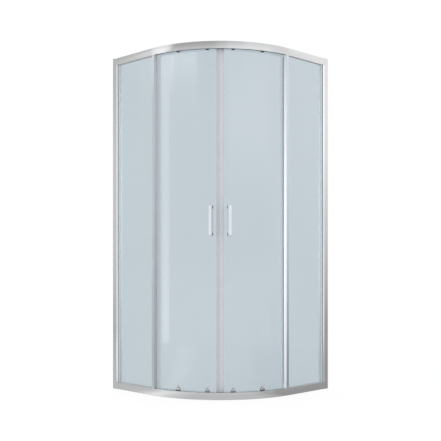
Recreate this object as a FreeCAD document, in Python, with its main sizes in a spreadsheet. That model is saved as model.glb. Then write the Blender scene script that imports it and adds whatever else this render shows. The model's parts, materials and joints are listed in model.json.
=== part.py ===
import FreeCAD, Part
import os
from dataclasses import dataclass

import Sketcher

# Corner shower cabin: two flat fixed panels, two curved sliding doors and a bright metal frame.
# The room corner is at -X +Y, the floor is Z = 0 and the doors face the diagonal +X -Y.
# Depths run inward from the outer face of the rails, drops run from the outer edge of a rail.

# Driving sizes: name, value in millimetres or degrees, meaning
SIZES = [
    ("side_length", 900, "wall to outer face of the cabin"),
    ("total_height", 1950, "floor to top of the frame"),
    ("corner_radius", 550, "radius of the outer rail face"),
    ("slip_gap", 0.3, "gap between parts that slide together"),
    ("rail_height", 40, "height of the rail extrusion"),
    ("rail_depth", 37, "depth of the rail extrusion"),
    ("rail_wall", 2, "wall of the rail extrusion"),
    ("rail_crown", 1.2, "bow of the outer face of the rail"),
    ("shelf_drop", 26, "running face of the shelf below the rail edge"),
    ("shelf_reach", 22, "depth of the free edge of the shelf"),
    ("bead_height", 2, "height of the bead along the shelf"),
    ("bead_width", 1.5, "width of the bead along the shelf"),
    ("lip_wall", 1.5, "wall of the glazing groove"),
    ("glass_setback", 9, "depth of the outer face of the fixed glass"),
    ("fixed_glass", 5, "thickness of the fixed glass"),
    ("gasket_wall", 1.5, "wall of the glazing gasket"),
    ("gasket_reveal", 3, "gasket showing past the frame"),
    ("channel_wall", 2, "wall of the wall channel"),
    ("channel_reach", 28, "reach of the wall channel from the wall"),
    ("wall_hole_radius", 3, "radius of the wall fixing holes"),
    ("wall_hole_margin", 150, "outer wall fixing holes from the ends"),
    ("post_gap", 6, "wall channel web to wall post"),
    ("post_width", 32, "width of the wall post along the panel"),
    ("post_strip", 8, "thickness of the post strips that hold screws"),
    ("post_screw_margin", 230, "outer post screws from the ends"),
    ("post_screw_radius", 2, "radius of the post screws"),
    ("post_screw_head", 3.5, "radius of the post screw heads"),
    ("post_screw_rise", 2, "height of the post screw heads"),
    ("cover_radius", 6, "radius of the screw covers"),
    ("cover_wall", 1.2, "wall of the screw covers"),
    ("frame_screw_radius", 2, "radius of the corner screws"),
    ("frame_screw_length", 20, "length of the corner screws"),
    ("strike_shift", 4, "start of the strike post past the straight"),
    ("strike_width", 19, "width of the strike post"),
    ("strike_depth", 18, "depth of the strike post"),
    ("strike_recess", 0.9, "strike post behind the rail face"),
    ("strike_lip", 3, "reach of the strike post lip"),
    ("seal_slot_width", 5, "width of the pile seal slot"),
    ("seal_slot_depth", 2.5, "depth of the pile seal slot"),
    ("pile_width", 3, "width of the pile"),
    ("seal_gap", 0.5, "gap left by the brushing seals"),
    ("door_glass", 5, "thickness of the door glass"),
    ("door_edge_drop", 14, "door glass edge from the rail edge"),
    ("door_overlap", 6, "door glass past the end of the curve"),
    ("door_travel", 25.5, "opening angle of each door"),
    ("seam_gap", 0.3, "gap from the magnetic seal to the seam plane"),
    ("seal_head", 9, "width of the magnetic seal head"),
    ("seal_clip", 12, "width of the seal clip on the glass"),
    ("seal_wall", 1.2, "wall of the door seals"),
    ("magnet_width", 5.5, "width of the magnet strip"),
    ("magnet_depth", 4, "thickness of the magnet strip"),
    ("edge_clip", 10, "width of the edge seal clip"),
    ("fin_width", 1.5, "width of the edge seal fin"),
    ("handle_level", 975, "height of the handle centre"),
    ("handle_offset", 49, "handle from the seam along the glass"),
    ("handle_height", 163, "height of the handle"),
    ("handle_width", 20, "width of the handle"),
    ("handle_reach", 40, "reach of the handle from the glass"),
    ("handle_bar", 9, "thickness of the handle bar"),
    ("handle_leg", 15, "height of the handle legs"),
    ("handle_round", 2, "rounding of the handle edges"),
    ("handle_bolt_radius", 2.5, "radius of the handle bolts"),
    ("handle_bolt_head", 8, "radius of the handle bolt heads"),
    ("handle_bolt_bite", 12, "handle bolt inside the leg"),
    ("roller_inset", 70, "inner roller from the seam along the glass"),
    ("roller_spacing", 170, "inner to outer roller along the glass"),
    ("roller_gap", 1, "shelf edge to roller body"),
    ("roller_plate", 3, "thickness of the roller plate"),
    ("roller_bar", 40, "length of the roller bar"),
    ("roller_bar_height", 13, "height of the roller bar"),
    ("boss_radius", 14, "radius of the roller boss"),
    ("boss_depth", 5.2, "thickness of the roller boss"),
    ("top_bolt_drop", 29, "top roller bolt below the rail edge"),
    ("bottom_bolt_height", 45, "bottom roller bolt above the floor"),
    ("bolt_radius", 3, "radius of the roller bolts"),
    ("bolt_head", 5, "radius of the roller bolt heads"),
    ("bolt_head_depth", 1.3, "thickness of the roller bolt heads"),
    ("bush_wall", 1.9, "wall of the bush in the glass"),
    ("cap_radius", 13, "radius of the inner caps"),
    ("cap_depth", 6, "thickness of the inner caps"),
    ("wheel_radius", 10, "radius of the wheels"),
    ("wheel_width", 5, "width of the wheels"),
    ("wheel_setback", 8, "depth of the outer face of the wheels"),
    ("wheel_pitch", 26, "distance between paired wheels"),
    ("wheel_round", 1, "rounding of the wheel rim"),
    ("axle_radius", 2, "radius of the axles"),
    ("axle_shoulder", 3.5, "radius of the axle shoulders"),
    ("axle_head", 1.5, "thickness of the axle heads"),
    ("turn_gap", 0.05, "gap of turning and screwed parts"),
    ("slider_width", 11, "width of the release slider"),
    ("slider_depth", 2, "thickness of the release slider"),
    ("button_height", 5, "height of the release button"),
    ("press_travel", 3, "travel of the release slider"),
    ("stop_length", 15, "length of the door stop"),
    ("stop_height", 13, "height of the door stop"),
    ("port_inset", 5, "screw ports from the back of the wall post"),
    ("side_screw_inset", 8, "post screws from the free edge of the wall channel"),
    ("seal_slot_inset", 3, "pile seal slot from the edge of the strike post"),
    ("pile_clearance", 3, "ends of the pile seal from the rollers"),
    ("seal_end_drop", 2, "magnetic seal from the ends of the door glass"),
    ("edge_seal_drop", 8, "edge seal from the rails"),
    ("fin_bite", 0.4, "edge seal fin inside the wall of its clip"),
    ("handle_bolt_gap", 1, "gap round the handle bolts in the glass"),
    ("handle_bolt_rise", 4, "height of the handle bolt heads"),
    ("handle_bolt_chamfer", 2, "chamfer of the handle bolt heads"),
    ("roller_waist", 11.2, "half width of the roller plate at its boss"),
    ("slider_foot", 5, "lower end of the release slider below its wheel axis"),
    ("button_overhang", 1, "release button past the sides of its slider"),
    ("cap_chamfer", 2, "chamfer of the inner caps"),
    ("cut_over", 1, "length that cutters run past a face"),
    ("cut_turn", 1, "angle that cutters run past a curved end"),
]

# Values that follow from the driving sizes: name, formula
LAYOUT = [
    ("rail_face", "Sizes.channel_wall + Sizes.slip_gap"),
    ("arc_offset", "Sizes.side_length - rail_face - Sizes.corner_radius"),
    ("arc_x", "arc_offset - Sizes.side_length / 2"),
    ("arc_y", "Sizes.side_length / 2 - arc_offset"),
    ("groove_front", "Sizes.glass_setback - Sizes.gasket_wall"),
    ("groove_back", "Sizes.glass_setback + Sizes.fixed_glass + Sizes.gasket_wall"),
    ("groove_rear", "groove_back + Sizes.lip_wall"),
    ("shelf_under", "Sizes.shelf_drop + Sizes.rail_wall"),
    ("groove_depth", "Sizes.rail_height - shelf_under"),
    ("glass_bite", "groove_depth - Sizes.gasket_wall - Sizes.slip_gap"),
    ("glass_drop", "Sizes.rail_height - glass_bite"),
    ("glass_middle", "Sizes.glass_setback + Sizes.fixed_glass / 2"),
    ("channel_front", "-rail_face"),
    ("channel_back", "Sizes.rail_depth + rail_face"),
    ("post_start", "Sizes.channel_wall + Sizes.post_gap"),
    ("post_end", "post_start + Sizes.post_width"),
    ("post_front", "Sizes.rail_wall + Sizes.slip_gap"),
    ("port_place", "post_start + Sizes.port_inset"),
    ("port_front", "post_front + Sizes.post_strip / 2"),
    ("port_back", "Sizes.rail_depth - Sizes.post_strip / 2"),
    ("side_screw", "Sizes.channel_reach - Sizes.side_screw_inset"),
    ("strike_start", "arc_offset + Sizes.strike_shift"),
    ("strike_end", "strike_start + Sizes.strike_width"),
    ("strike_back", "Sizes.strike_recess + Sizes.strike_depth"),
    ("slot_end", "strike_end - Sizes.seal_slot_inset"),
    ("slot_start", "slot_end - Sizes.seal_slot_width"),
    ("slot_floor", "strike_back - Sizes.seal_slot_depth"),
    ("plate_front", "Sizes.shelf_reach + Sizes.roller_gap"),
    ("boss_back", "plate_front + Sizes.boss_depth"),
    ("door_front", "boss_back + Sizes.slip_gap"),
    ("door_back", "door_front + Sizes.door_glass"),
    ("door_middle", "Sizes.corner_radius - (door_front + door_back) / 2"),
    ("degrees", "180 / pi / door_middle"),
    ("glass_start", "(Sizes.seam_gap + Sizes.seal_head + Sizes.slip_gap) * degrees"),
    ("glass_end", "45 + Sizes.door_overlap * degrees"),
    ("handle_turn", "Sizes.handle_offset * degrees"),
    ("handle_leg_level", "(Sizes.handle_height - Sizes.handle_leg) / 2"),
    ("inner_turn", "Sizes.roller_inset * degrees"),
    ("outer_turn", "(Sizes.roller_inset + Sizes.roller_spacing) * degrees"),
    ("bush_radius", "Sizes.bolt_radius + Sizes.bush_wall"),
    ("wheel_back", "Sizes.wheel_setback + Sizes.wheel_width"),
    ("wheel_line", "Sizes.corner_radius - Sizes.wheel_setback - Sizes.wheel_width / 2"),
    ("wheel_low", "Sizes.shelf_drop - Sizes.slip_gap - Sizes.wheel_radius"),
    ("wheel_high", "Sizes.total_height - wheel_low"),
    ("top_bolt", "Sizes.total_height - Sizes.top_bolt_drop"),
    ("button_base", "Sizes.bottom_bolt_height + Sizes.boss_radius + Sizes.press_travel + Sizes.slip_gap"),
    ("slider_back", "boss_back - Sizes.slip_gap"),
    ("slider_front", "slider_back - Sizes.slider_depth"),
    ("pile_bottom", "button_base + Sizes.button_height + Sizes.pile_clearance"),
    ("pile_top", "top_bolt - Sizes.boss_radius - Sizes.pile_clearance"),
    ("open_turn", "outer_turn + Sizes.door_travel - 45"),
    ("stop_face", "arc_offset - wheel_line * sin(open_turn) - Sizes.wheel_pitch / 2 * cos(open_turn)"
                  " - Sizes.wheel_radius - Sizes.seal_gap"),
]

doc = FreeCAD.newDocument("CornerShower")


def fill_sheet(name, rows, prefix):
    """Write rows of names and values to a spreadsheet and give each value its name."""
    sheet = doc.addObject("Spreadsheet::Sheet", name)
    for number, row in enumerate(rows, start=1):
        sheet.set(f"A{number}", row[0])
        sheet.set(f"B{number}", f"{prefix}{row[1]}")
        sheet.setAlias(f"B{number}", row[0])
        if len(row) > 2:
            sheet.set(f"C{number}", row[2])
    doc.recompute()
    return sheet


fill_sheet("Sizes", SIZES, "")
layout_sheet = fill_sheet("Layout", LAYOUT, "=")


@dataclass(frozen=True)
class Side:
    """One half of the cabin.

    Attributes:
        name: word used in the names of its pieces.
        lean: direction of growing angle and tangent from the seam.
        depth_sign: direction of inward depth in the frame of the flat panel.
        corner: expression of the X and Y place where the panel's outer face meets its wall.
        turn: rotation of the panel's frame, its X axis leaving the wall.
    """

    name: str
    lean: int
    depth_sign: int
    corner: str
    turn: str


LEFT = Side("left", -1, 1, "-Sizes.side_length / 2", "0")
RIGHT = Side("right", 1, -1, "Sizes.side_length / 2", "-90")
SIDES = (LEFT, RIGHT)


def value(expression):
    """Number that an expression gives with the present sizes."""
    return float(layout_sheet.evalExpression(expression))


def signed(sign, expression):
    """Expression multiplied by a sign."""
    return f"{sign} * ({expression})"


def from_top(drop):
    """Height that lies a drop below the top of the cabin."""
    return f"Sizes.total_height - ({drop})"


# Placing pieces

def place(piece, x, y, turn):
    """Bind the place of a piece and its turn about the upright axis."""
    piece.Placement.Rotation = FreeCAD.Rotation(FreeCAD.Vector(0, 0, 1), 1)
    piece.setExpression("Placement.Base.x", x)
    piece.setExpression("Placement.Base.y", y)
    piece.setExpression("Placement.Rotation.Angle", turn)


def place_on_wall(piece, side, along="0"):
    """Put a piece in a panel's frame: X runs along the panel and Y is the signed depth."""
    if side is LEFT:
        place(piece, f"{side.corner} + ({along})", side.corner, side.turn)
    else:
        place(piece, side.corner, f"{side.corner} - ({along})", side.turn)


def place_on_arc(piece, turn, tangent="0"):
    """Put a piece on the rail's outer face: X points outward and Y runs along the curve."""
    angle = f"(-45 + ({turn}))"
    x = f"Layout.arc_x + Sizes.corner_radius * cos({angle}) - ({tangent}) * sin({angle})"
    y = f"Layout.arc_y + Sizes.corner_radius * sin({angle}) + ({tangent}) * cos({angle})"
    place(piece, x, y, angle)


# Sketches and solids

def new_body(name):
    """Start an empty body."""
    body = doc.addObject("PartDesign::Body", name)
    body.Label = name
    return body


def new_sketch(body, plane, offset="0"):
    """Start a sketch on an origin plane of a body, moved along the plane's normal."""
    sketch = body.newObject("Sketcher::SketchObject", f"{body.Name}_sketch")
    planes = {feature.Role: feature for feature in body.Origin.OriginFeatures}
    sketch.AttachmentSupport = (planes[plane], [""])
    sketch.MapMode = "FlatFace"
    sketch.setExpression("AttachmentOffset.Base.z", offset)
    return sketch


def pin_point(sketch, edge, end, x, y):
    """Tie one point of a sketch to a pair of expressions."""
    for kind, expression in (("DistanceX", x), ("DistanceY", y)):
        number = sketch.addConstraint(Sketcher.Constraint(kind, -1, 1, edge, end, value(expression)))
        sketch.setExpression(f"Constraints[{number}]", expression)


def corner(point):
    """Place in a sketch that a pair of expressions gives."""
    x, y = point
    return FreeCAD.Vector(value(x), value(y), 0)


def chain(sketch, points):
    """Draw joined lines through pairs of expressions and return the first and the last of them."""
    corners = [corner(point) for point in points]
    lines = [sketch.addGeometry(Part.LineSegment(*ends)) for ends in zip(corners, corners[1:])]
    for line, following in zip(lines, lines[1:]):
        sketch.addConstraint(Sketcher.Constraint("Coincident", line, 2, following, 1))
    for line, (x, y) in zip(lines, points):
        pin_point(sketch, line, 1, x, y)
    pin_point(sketch, lines[-1], 2, *points[-1])
    return lines[0], lines[-1]


def outline(sketch, points):
    """Draw a closed outline through pairs of expressions."""
    first, last = chain(sketch, points)
    closing = sketch.addGeometry(Part.LineSegment(corner(points[-1]), corner(points[0])))
    sketch.addConstraint(Sketcher.Constraint("Coincident", last, 2, closing, 1))
    sketch.addConstraint(Sketcher.Constraint("Coincident", closing, 2, first, 1))


def bowed_outline(sketch, points, bow):
    """Draw a closed outline whose closing edge is an arc.

    Args:
        sketch: sketch that gets the outline.
        points: pairs of expressions from one end of the arc round to the other.
        bow: pair of expressions for a point of the arc between its ends.
    """
    first, last = chain(sketch, points)
    arc = sketch.addGeometry(Part.Arc(corner(points[-1]), corner(bow), corner(points[0])))
    start = 1 if sketch.getPoint(arc, 1).isEqual(corner(points[-1]), 1e-6) else 2
    sketch.addConstraint(Sketcher.Constraint("Coincident", last, 2, arc, start))
    sketch.addConstraint(Sketcher.Constraint("Coincident", first, 1, arc, 3 - start))
    middle = sketch.addGeometry(Part.Point(corner(bow)), True)
    pin_point(sketch, middle, 1, *bow)
    sketch.addConstraint(Sketcher.Constraint("PointOnObject", middle, 1, arc))


def rectangle(sketch, x_start, x_end, y_start, y_end):
    """Draw a rectangle between expressions."""
    outline(sketch, [(x_start, y_start), (x_end, y_start), (x_end, y_end), (x_start, y_end)])


def circle(sketch, x, y, radius):
    """Draw a circle with its centre and radius tied to expressions."""
    centre = FreeCAD.Vector(value(x), value(y), 0)
    edge = sketch.addGeometry(Part.Circle(centre, FreeCAD.Vector(0, 0, 1), value(radius)))
    pin_point(sketch, edge, 3, x, y)
    number = sketch.addConstraint(Sketcher.Constraint("Radius", edge, value(radius)))
    sketch.setExpression(f"Constraints[{number}]", radius)


def extrude(body, kind, sketch, length, reverse=False, symmetric=False):
    """Add a pad or a pocket to a body."""
    feature = body.newObject(f"PartDesign::{kind}", f"{body.Name}_{kind.lower()}")
    feature.Profile = sketch
    feature.setExpression("Length", length)
    feature.Reversed = reverse
    if symmetric:
        feature.SideType = "Symmetric"
    return feature


def revolve(body, sketch, axis, angle, reverse=False):
    """Add a turned solid to a body."""
    feature = body.newObject("PartDesign::Revolution", f"{body.Name}_revolution")
    feature.Profile = sketch
    feature.ReferenceAxis = (sketch, [axis])
    feature.setExpression("Angle", angle)
    feature.Reversed = reverse
    return feature


def cut(name, base, cutters):
    """Take cutters out of a solid."""
    tool = cutters[0]
    if len(cutters) > 1:
        tool = doc.addObject("Part::MultiFuse", f"{name}_cutters")
        tool.Shapes = cutters
    piece = doc.addObject("Part::Cut", name)
    piece.Base = base
    piece.Tool = tool
    piece.Label = name
    return piece


def fuse(name, solids):
    """Join solids to one."""
    piece = doc.addObject("Part::MultiFuse", name)
    piece.Shapes = solids
    piece.Label = name
    return piece


def group(name, solids):
    """Gather like pieces that stay separate solids."""
    piece = doc.addObject("Part::Compound", name)
    piece.Links = solids
    piece.Label = name
    return piece


def upright(name, side, outlines, bottom, top):
    """Extrude plan outlines of a flat panel's frame from one height to another.

    Args:
        name: name of the piece.
        side: half of the cabin it belongs to.
        outlines: closed outlines of pairs: distance from the wall, depth from the rail face.
        bottom: height of the lower end.
        top: height of the upper end.

    Returns:
        The body, with its pad as the last feature.
    """
    body = new_body(name)
    place_on_wall(body, side)
    sketch = new_sketch(body, "XY_Plane", bottom)
    for points in outlines:
        outline(sketch, [(along, panel_depth(side, depth)) for along, depth in points])
    extrude(body, "Pad", sketch, f"({top}) - ({bottom})")
    return body


def panel_depth(side, depth):
    """Signed coordinate of a depth in the frame of a flat panel."""
    return signed(side.depth_sign, f"Layout.rail_face + {depth}")


def box_points(along_start, along_end, depth_start, depth_end):
    """Corners of a plan rectangle."""
    return [(along_start, depth_start), (along_end, depth_start),
            (along_end, depth_end), (along_start, depth_end)]


def sector(name, side, depths, turns, heights):
    """Curved wall concentric with the rails.

    Args:
        name: name of the piece.
        side: half of the cabin it belongs to.
        depths: outer and inner depth from the rail face.
        turns: start and end angle from the seam.
        heights: lower and upper height.

    Returns:
        The body of the wall.
    """
    body = new_body(name)
    start = f"-45 + ({turns[0]})" if side is RIGHT else f"-45 - ({turns[1]})"
    place(body, "Layout.arc_x", "Layout.arc_y", start)
    sketch = new_sketch(body, "XZ_Plane")
    outer, inner = (f"Sizes.corner_radius - ({depth})" for depth in depths)
    rectangle(sketch, inner, outer, *heights)
    revolve(body, sketch, "V_Axis", f"({turns[1]}) - ({turns[0]})")
    return body


def turned(name, turn, level, profile, tangent="0"):
    """Turn a profile about an axis that runs outward through the curve.

    Args:
        name: name of the piece.
        turn: signed angle from the seam.
        level: height of the axis.
        profile: pairs of depth from the rail face and radius.
        tangent: signed distance of the axis along the curve's tangent.

    Returns:
        The body of the turned piece.
    """
    body = new_body(name)
    place_on_arc(body, turn, tangent)
    body.setExpression("Placement.Base.z", level)
    sketch = new_sketch(body, "XZ_Plane")
    outline(sketch, [(f"-({depth})", radius) for depth, radius in profile])
    revolve(body, sketch, "H_Axis", "360")
    return body


def rod(start, end, radius):
    """Profile of a plain cylinder between two depths."""
    return [(start, "0"), (end, "0"), (end, radius), (start, radius)]


def wall_turned(name, side, along, level, profile):
    """Turn a profile about an axis that runs inward through a flat panel."""
    body = new_body(name)
    place_on_wall(body, side, along)
    body.setExpression("Placement.Base.z", level)
    sketch = new_sketch(body, "XY_Plane")
    outline(sketch, [(radius, panel_depth(side, depth)) for depth, radius in profile])
    revolve(body, sketch, "V_Axis", "360")
    return body


def corner_screw(name, side, port, at_top, gap):
    """Countersunk screw through a rail into a wall post, or its hole where the gap is not zero."""
    body = new_body(name)
    place_on_wall(body, side)
    sketch = new_sketch(body, "XZ_Plane", signed(-side.depth_sign, f"Layout.rail_face + {port}"))
    shank = f"Sizes.frame_screw_radius + {gap}"
    head = f"Sizes.frame_screw_radius + Sizes.rail_wall + {gap}"
    profile = [("0", "0"), (head, "0"), (shank, "Sizes.rail_wall"),
               (shank, "Sizes.frame_screw_length"), ("0", "Sizes.frame_screw_length")]
    axis = "Layout.port_place"
    outline(sketch, [(f"{axis} + ({radius})", from_top(drop) if at_top else drop)
                     for radius, drop in profile])
    feature = revolve(body, sketch, "V_Axis", "360")
    feature.ReferenceAxis = (sketch, ["Edge5"])
    return body


# Fixed frame

def rail_profiles():
    """Full section of the rail, its chamber, and the short section inside the wall channel."""
    full = [
        ("Sizes.rail_crown", "0"), ("Sizes.rail_depth", "0"), ("Sizes.rail_depth", "Sizes.rail_wall"),
        ("Sizes.rail_wall", "Sizes.rail_wall"), ("Sizes.rail_wall", "Sizes.shelf_drop"),
        ("Sizes.shelf_reach - Sizes.bead_width", "Sizes.shelf_drop"),
        ("Sizes.shelf_reach - Sizes.bead_width", "Sizes.shelf_drop - Sizes.bead_height"),
        ("Sizes.shelf_reach", "Sizes.shelf_drop - Sizes.bead_height"),
        ("Sizes.shelf_reach", "Layout.shelf_under"), ("Layout.groove_rear", "Layout.shelf_under"),
        ("Layout.groove_rear", "Sizes.rail_height"), ("Layout.groove_back", "Sizes.rail_height"),
        ("Layout.groove_back", "Layout.shelf_under"), ("Layout.groove_front", "Layout.shelf_under"),
        ("Layout.groove_front", "Sizes.rail_height"), ("Sizes.rail_crown", "Sizes.rail_height"),
    ]
    chamber = box_points("Sizes.rail_wall", "Layout.groove_front - Sizes.lip_wall",
                         "Layout.shelf_under", "Sizes.rail_height - Sizes.lip_wall")
    short = [
        ("Sizes.rail_crown", "0"), ("Sizes.rail_depth", "0"), ("Sizes.rail_depth", "Sizes.rail_wall"),
        ("Sizes.rail_wall", "Sizes.rail_wall"), ("Sizes.rail_wall", "Sizes.rail_height"),
        ("Sizes.rail_crown", "Sizes.rail_height"),
    ]
    return full, chamber, short


def draw_rail_section(body, plane, section, hollows, at_top):
    """Sketch a rail section with a bowed outer face where a straight end meets the curve."""
    sketch = new_sketch(body, plane)
    sign = 1 if plane == "XZ_Plane" else -1

    def spot(depth, drop):
        """Place in the sketch of a depth and a drop."""
        return signed(sign, f"Sizes.corner_radius - ({depth})"), from_top(drop) if at_top else drop

    bowed_outline(sketch, [spot(*point) for point in section], spot("0", "Sizes.rail_height / 2"))
    for points in hollows:
        outline(sketch, [spot(*point) for point in points])
    return sketch


def make_rail(name, at_top):
    """Bent rail with straight ends that run into the wall channels."""
    full, chamber, short = rail_profiles()
    body = new_body(f"{name}_bar")
    place(body, "Layout.arc_x", "Layout.arc_y", "0")
    curve = draw_rail_section(body, "XZ_Plane", full, [chamber], at_top)
    revolve(body, curve, "V_Axis", "90", reverse=True)
    for plane in ("XZ_Plane", "YZ_Plane"):
        straight = draw_rail_section(body, plane, full, [chamber], at_top)
        length = "Layout.arc_offset - Layout.post_end - Sizes.slip_gap"
        extrude(body, "Pad", straight, length, reverse=True)
        tail = draw_rail_section(body, plane, short, [], at_top)
        extrude(body, "Pad", tail, "Layout.arc_offset - Layout.post_start", reverse=True)
    holes = [corner_screw(f"{name}_hole", side, port, at_top, "Sizes.slip_gap")
             for side in SIDES for port in ("Layout.port_front", "Layout.port_back")]
    return cut(name, body, holes)


def make_corner_screws():
    """Screws that hold the wall posts between the rails."""
    screws = [corner_screw("corner_screw", side, port, at_top, "0") for at_top in (True, False)
              for side in SIDES for port in ("Layout.port_front", "Layout.port_back")]
    return group("corner_screws", screws)


def post_screw_levels():
    """Heights of the screws that join a wall channel to its post."""
    span = "(Sizes.total_height - 2 * Sizes.post_screw_margin)"
    return [f"Sizes.post_screw_margin + {span} * {number} / 2" for number in range(3)]


def make_wall_channel(side):
    """Channel screwed to the wall, with holes in its web and its inner flange."""
    name = f"wall_channel_{side.name}"
    front, back = "Layout.channel_front", "Layout.channel_back"
    inner_front = "Layout.channel_front + Sizes.channel_wall"
    inner_back = "Layout.channel_back - Sizes.channel_wall"
    section = [
        ("0", front), ("Sizes.channel_reach", front), ("Sizes.channel_reach", inner_front),
        ("Sizes.channel_wall", inner_front), ("Sizes.channel_wall", inner_back),
        ("Sizes.channel_reach", inner_back), ("Sizes.channel_reach", back), ("0", back),
    ]
    body = upright(f"{name}_bar", side, [section], "0", "Sizes.total_height")
    sketch = new_sketch(body, "YZ_Plane")
    middle = panel_depth(side, "Sizes.rail_depth / 2")
    span = "(Sizes.total_height - 2 * Sizes.wall_hole_margin)"
    for number in range(4):
        circle(sketch, middle, f"Sizes.wall_hole_margin + {span} * {number} / 3", "Sizes.wall_hole_radius")
    extrude(body, "Pocket", sketch, "Sizes.channel_wall", reverse=True)
    profile = rod(f"{inner_back} - Sizes.slip_gap", f"{back} + Sizes.slip_gap",
                  "Sizes.post_screw_radius + Sizes.slip_gap")
    holes = [wall_turned(f"{name}_hole", side, "Layout.side_screw", level, profile)
             for level in post_screw_levels()]
    return cut(name, body, holes)


def make_wall_post(side):
    """Post with a glazing groove, a chamber and two screw ports."""
    name = f"wall_post_{side.name}"
    start, end = "Layout.post_start", "Layout.post_end"
    front, back = "Layout.post_front", "Sizes.rail_depth"
    floor = "Layout.post_end - Layout.groove_depth"
    section = [
        (start, front), (end, front), (end, "Layout.groove_front"), (floor, "Layout.groove_front"),
        (floor, "Layout.groove_back"), (end, "Layout.groove_back"), (end, back), (start, back),
    ]
    chamber = box_points(f"{start} + Sizes.rail_wall", f"{floor} - Sizes.rail_wall",
                         f"{front} + Sizes.post_strip", f"{back} - Sizes.post_strip")
    bottom, top = "Sizes.rail_wall", from_top("Sizes.rail_wall")
    body = upright(f"{name}_bar", side, [section, chamber], bottom, top)
    sketch = new_sketch(body, "XY_Plane", bottom)
    for port in ("Layout.port_front", "Layout.port_back"):
        circle(sketch, "Layout.port_place", panel_depth(side, port),
               "Sizes.frame_screw_radius + Sizes.turn_gap")
    extrude(body, "Pocket", sketch, f"{top} - {bottom}", reverse=True)
    profile = rod(f"{back} - Sizes.post_strip", f"{back} + Sizes.slip_gap",
                  "Sizes.post_screw_radius + Sizes.turn_gap")
    holes = [wall_turned(f"{name}_hole", side, "Layout.side_screw", level, profile)
             for level in post_screw_levels()]
    return cut(name, body, holes)


def make_post_screws():
    """Pan head screws from the wall channels into the posts."""
    seat = "Layout.channel_back"
    tip = "Sizes.rail_depth - Sizes.post_strip + Sizes.slip_gap"
    profile = [
        (tip, "0"), (f"{seat} + Sizes.post_screw_rise", "0"),
        (f"{seat} + Sizes.post_screw_rise", "Sizes.post_screw_head - Sizes.post_screw_rise / 2"),
        (f"{seat} + Sizes.post_screw_rise / 2", "Sizes.post_screw_head"),
        (seat, "Sizes.post_screw_head"), (seat, "Sizes.post_screw_radius"),
        (tip, "Sizes.post_screw_radius"),
    ]
    return group("post_screws", [
        wall_turned("post_screw", side, "Layout.side_screw", level, profile)
        for side in SIDES for level in post_screw_levels()])


def make_post_screw_covers():
    """Snap covers over the pan head screws."""
    seat = "Layout.channel_back"
    hollow = f"{seat} + Sizes.post_screw_rise + Sizes.slip_gap"
    crown = f"{hollow} + Sizes.cover_wall"
    bore = "Sizes.cover_radius - Sizes.cover_wall"
    profile = [
        (hollow, "0"), (crown, "0"), (crown, bore), (hollow, "Sizes.cover_radius"),
        (seat, "Sizes.cover_radius"), (seat, bore), (hollow, bore),
    ]
    return group("post_screw_covers", [
        wall_turned("post_screw_cover", side, "Layout.side_screw", level, profile)
        for side in SIDES for level in post_screw_levels()])


def make_fixed_glass(side):
    """Flat pane held in the wall post, the rails and the strike post."""
    points = box_points("Layout.post_end - Layout.glass_bite", "Layout.strike_start + Layout.glass_bite",
                        "Sizes.glass_setback", "Sizes.glass_setback + Sizes.fixed_glass")
    return upright(f"fixed_glass_{side.name}", side, [points], "Layout.glass_drop",
                   from_top("Layout.glass_drop"))


def make_glazing_gasket(side):
    """Gasket around three edges of the fixed pane."""
    body = new_body(f"glazing_gasket_{side.name}")
    place_on_wall(body, side)
    offset = signed(-side.depth_sign, "Layout.rail_face + Layout.glass_middle")
    outer_start = "Layout.post_end - Layout.glass_bite - Sizes.gasket_wall"
    outer_end = "Layout.strike_start - Sizes.slip_gap"
    inner_start = "Layout.post_end + Sizes.gasket_reveal"
    drop = "Layout.glass_drop - Sizes.gasket_wall"
    reveal = "Sizes.rail_height + Sizes.gasket_reveal"
    sketch = new_sketch(body, "XZ_Plane", offset)
    outline(sketch, [
        (outer_start, drop), (outer_end, drop), (outer_end, reveal), (inner_start, reveal),
        (inner_start, from_top(reveal)), (outer_end, from_top(reveal)),
        (outer_end, from_top(drop)), (outer_start, from_top(drop)),
    ])
    extrude(body, "Pad", sketch, "Sizes.fixed_glass + 2 * Sizes.gasket_wall", symmetric=True)
    slot = new_sketch(body, "XZ_Plane", offset)
    rectangle(slot, "Layout.post_end - Layout.glass_bite", "Layout.strike_start",
              "Layout.glass_drop", from_top("Layout.glass_drop"))
    extrude(body, "Pocket", slot, "Sizes.fixed_glass", symmetric=True)
    return body


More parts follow.
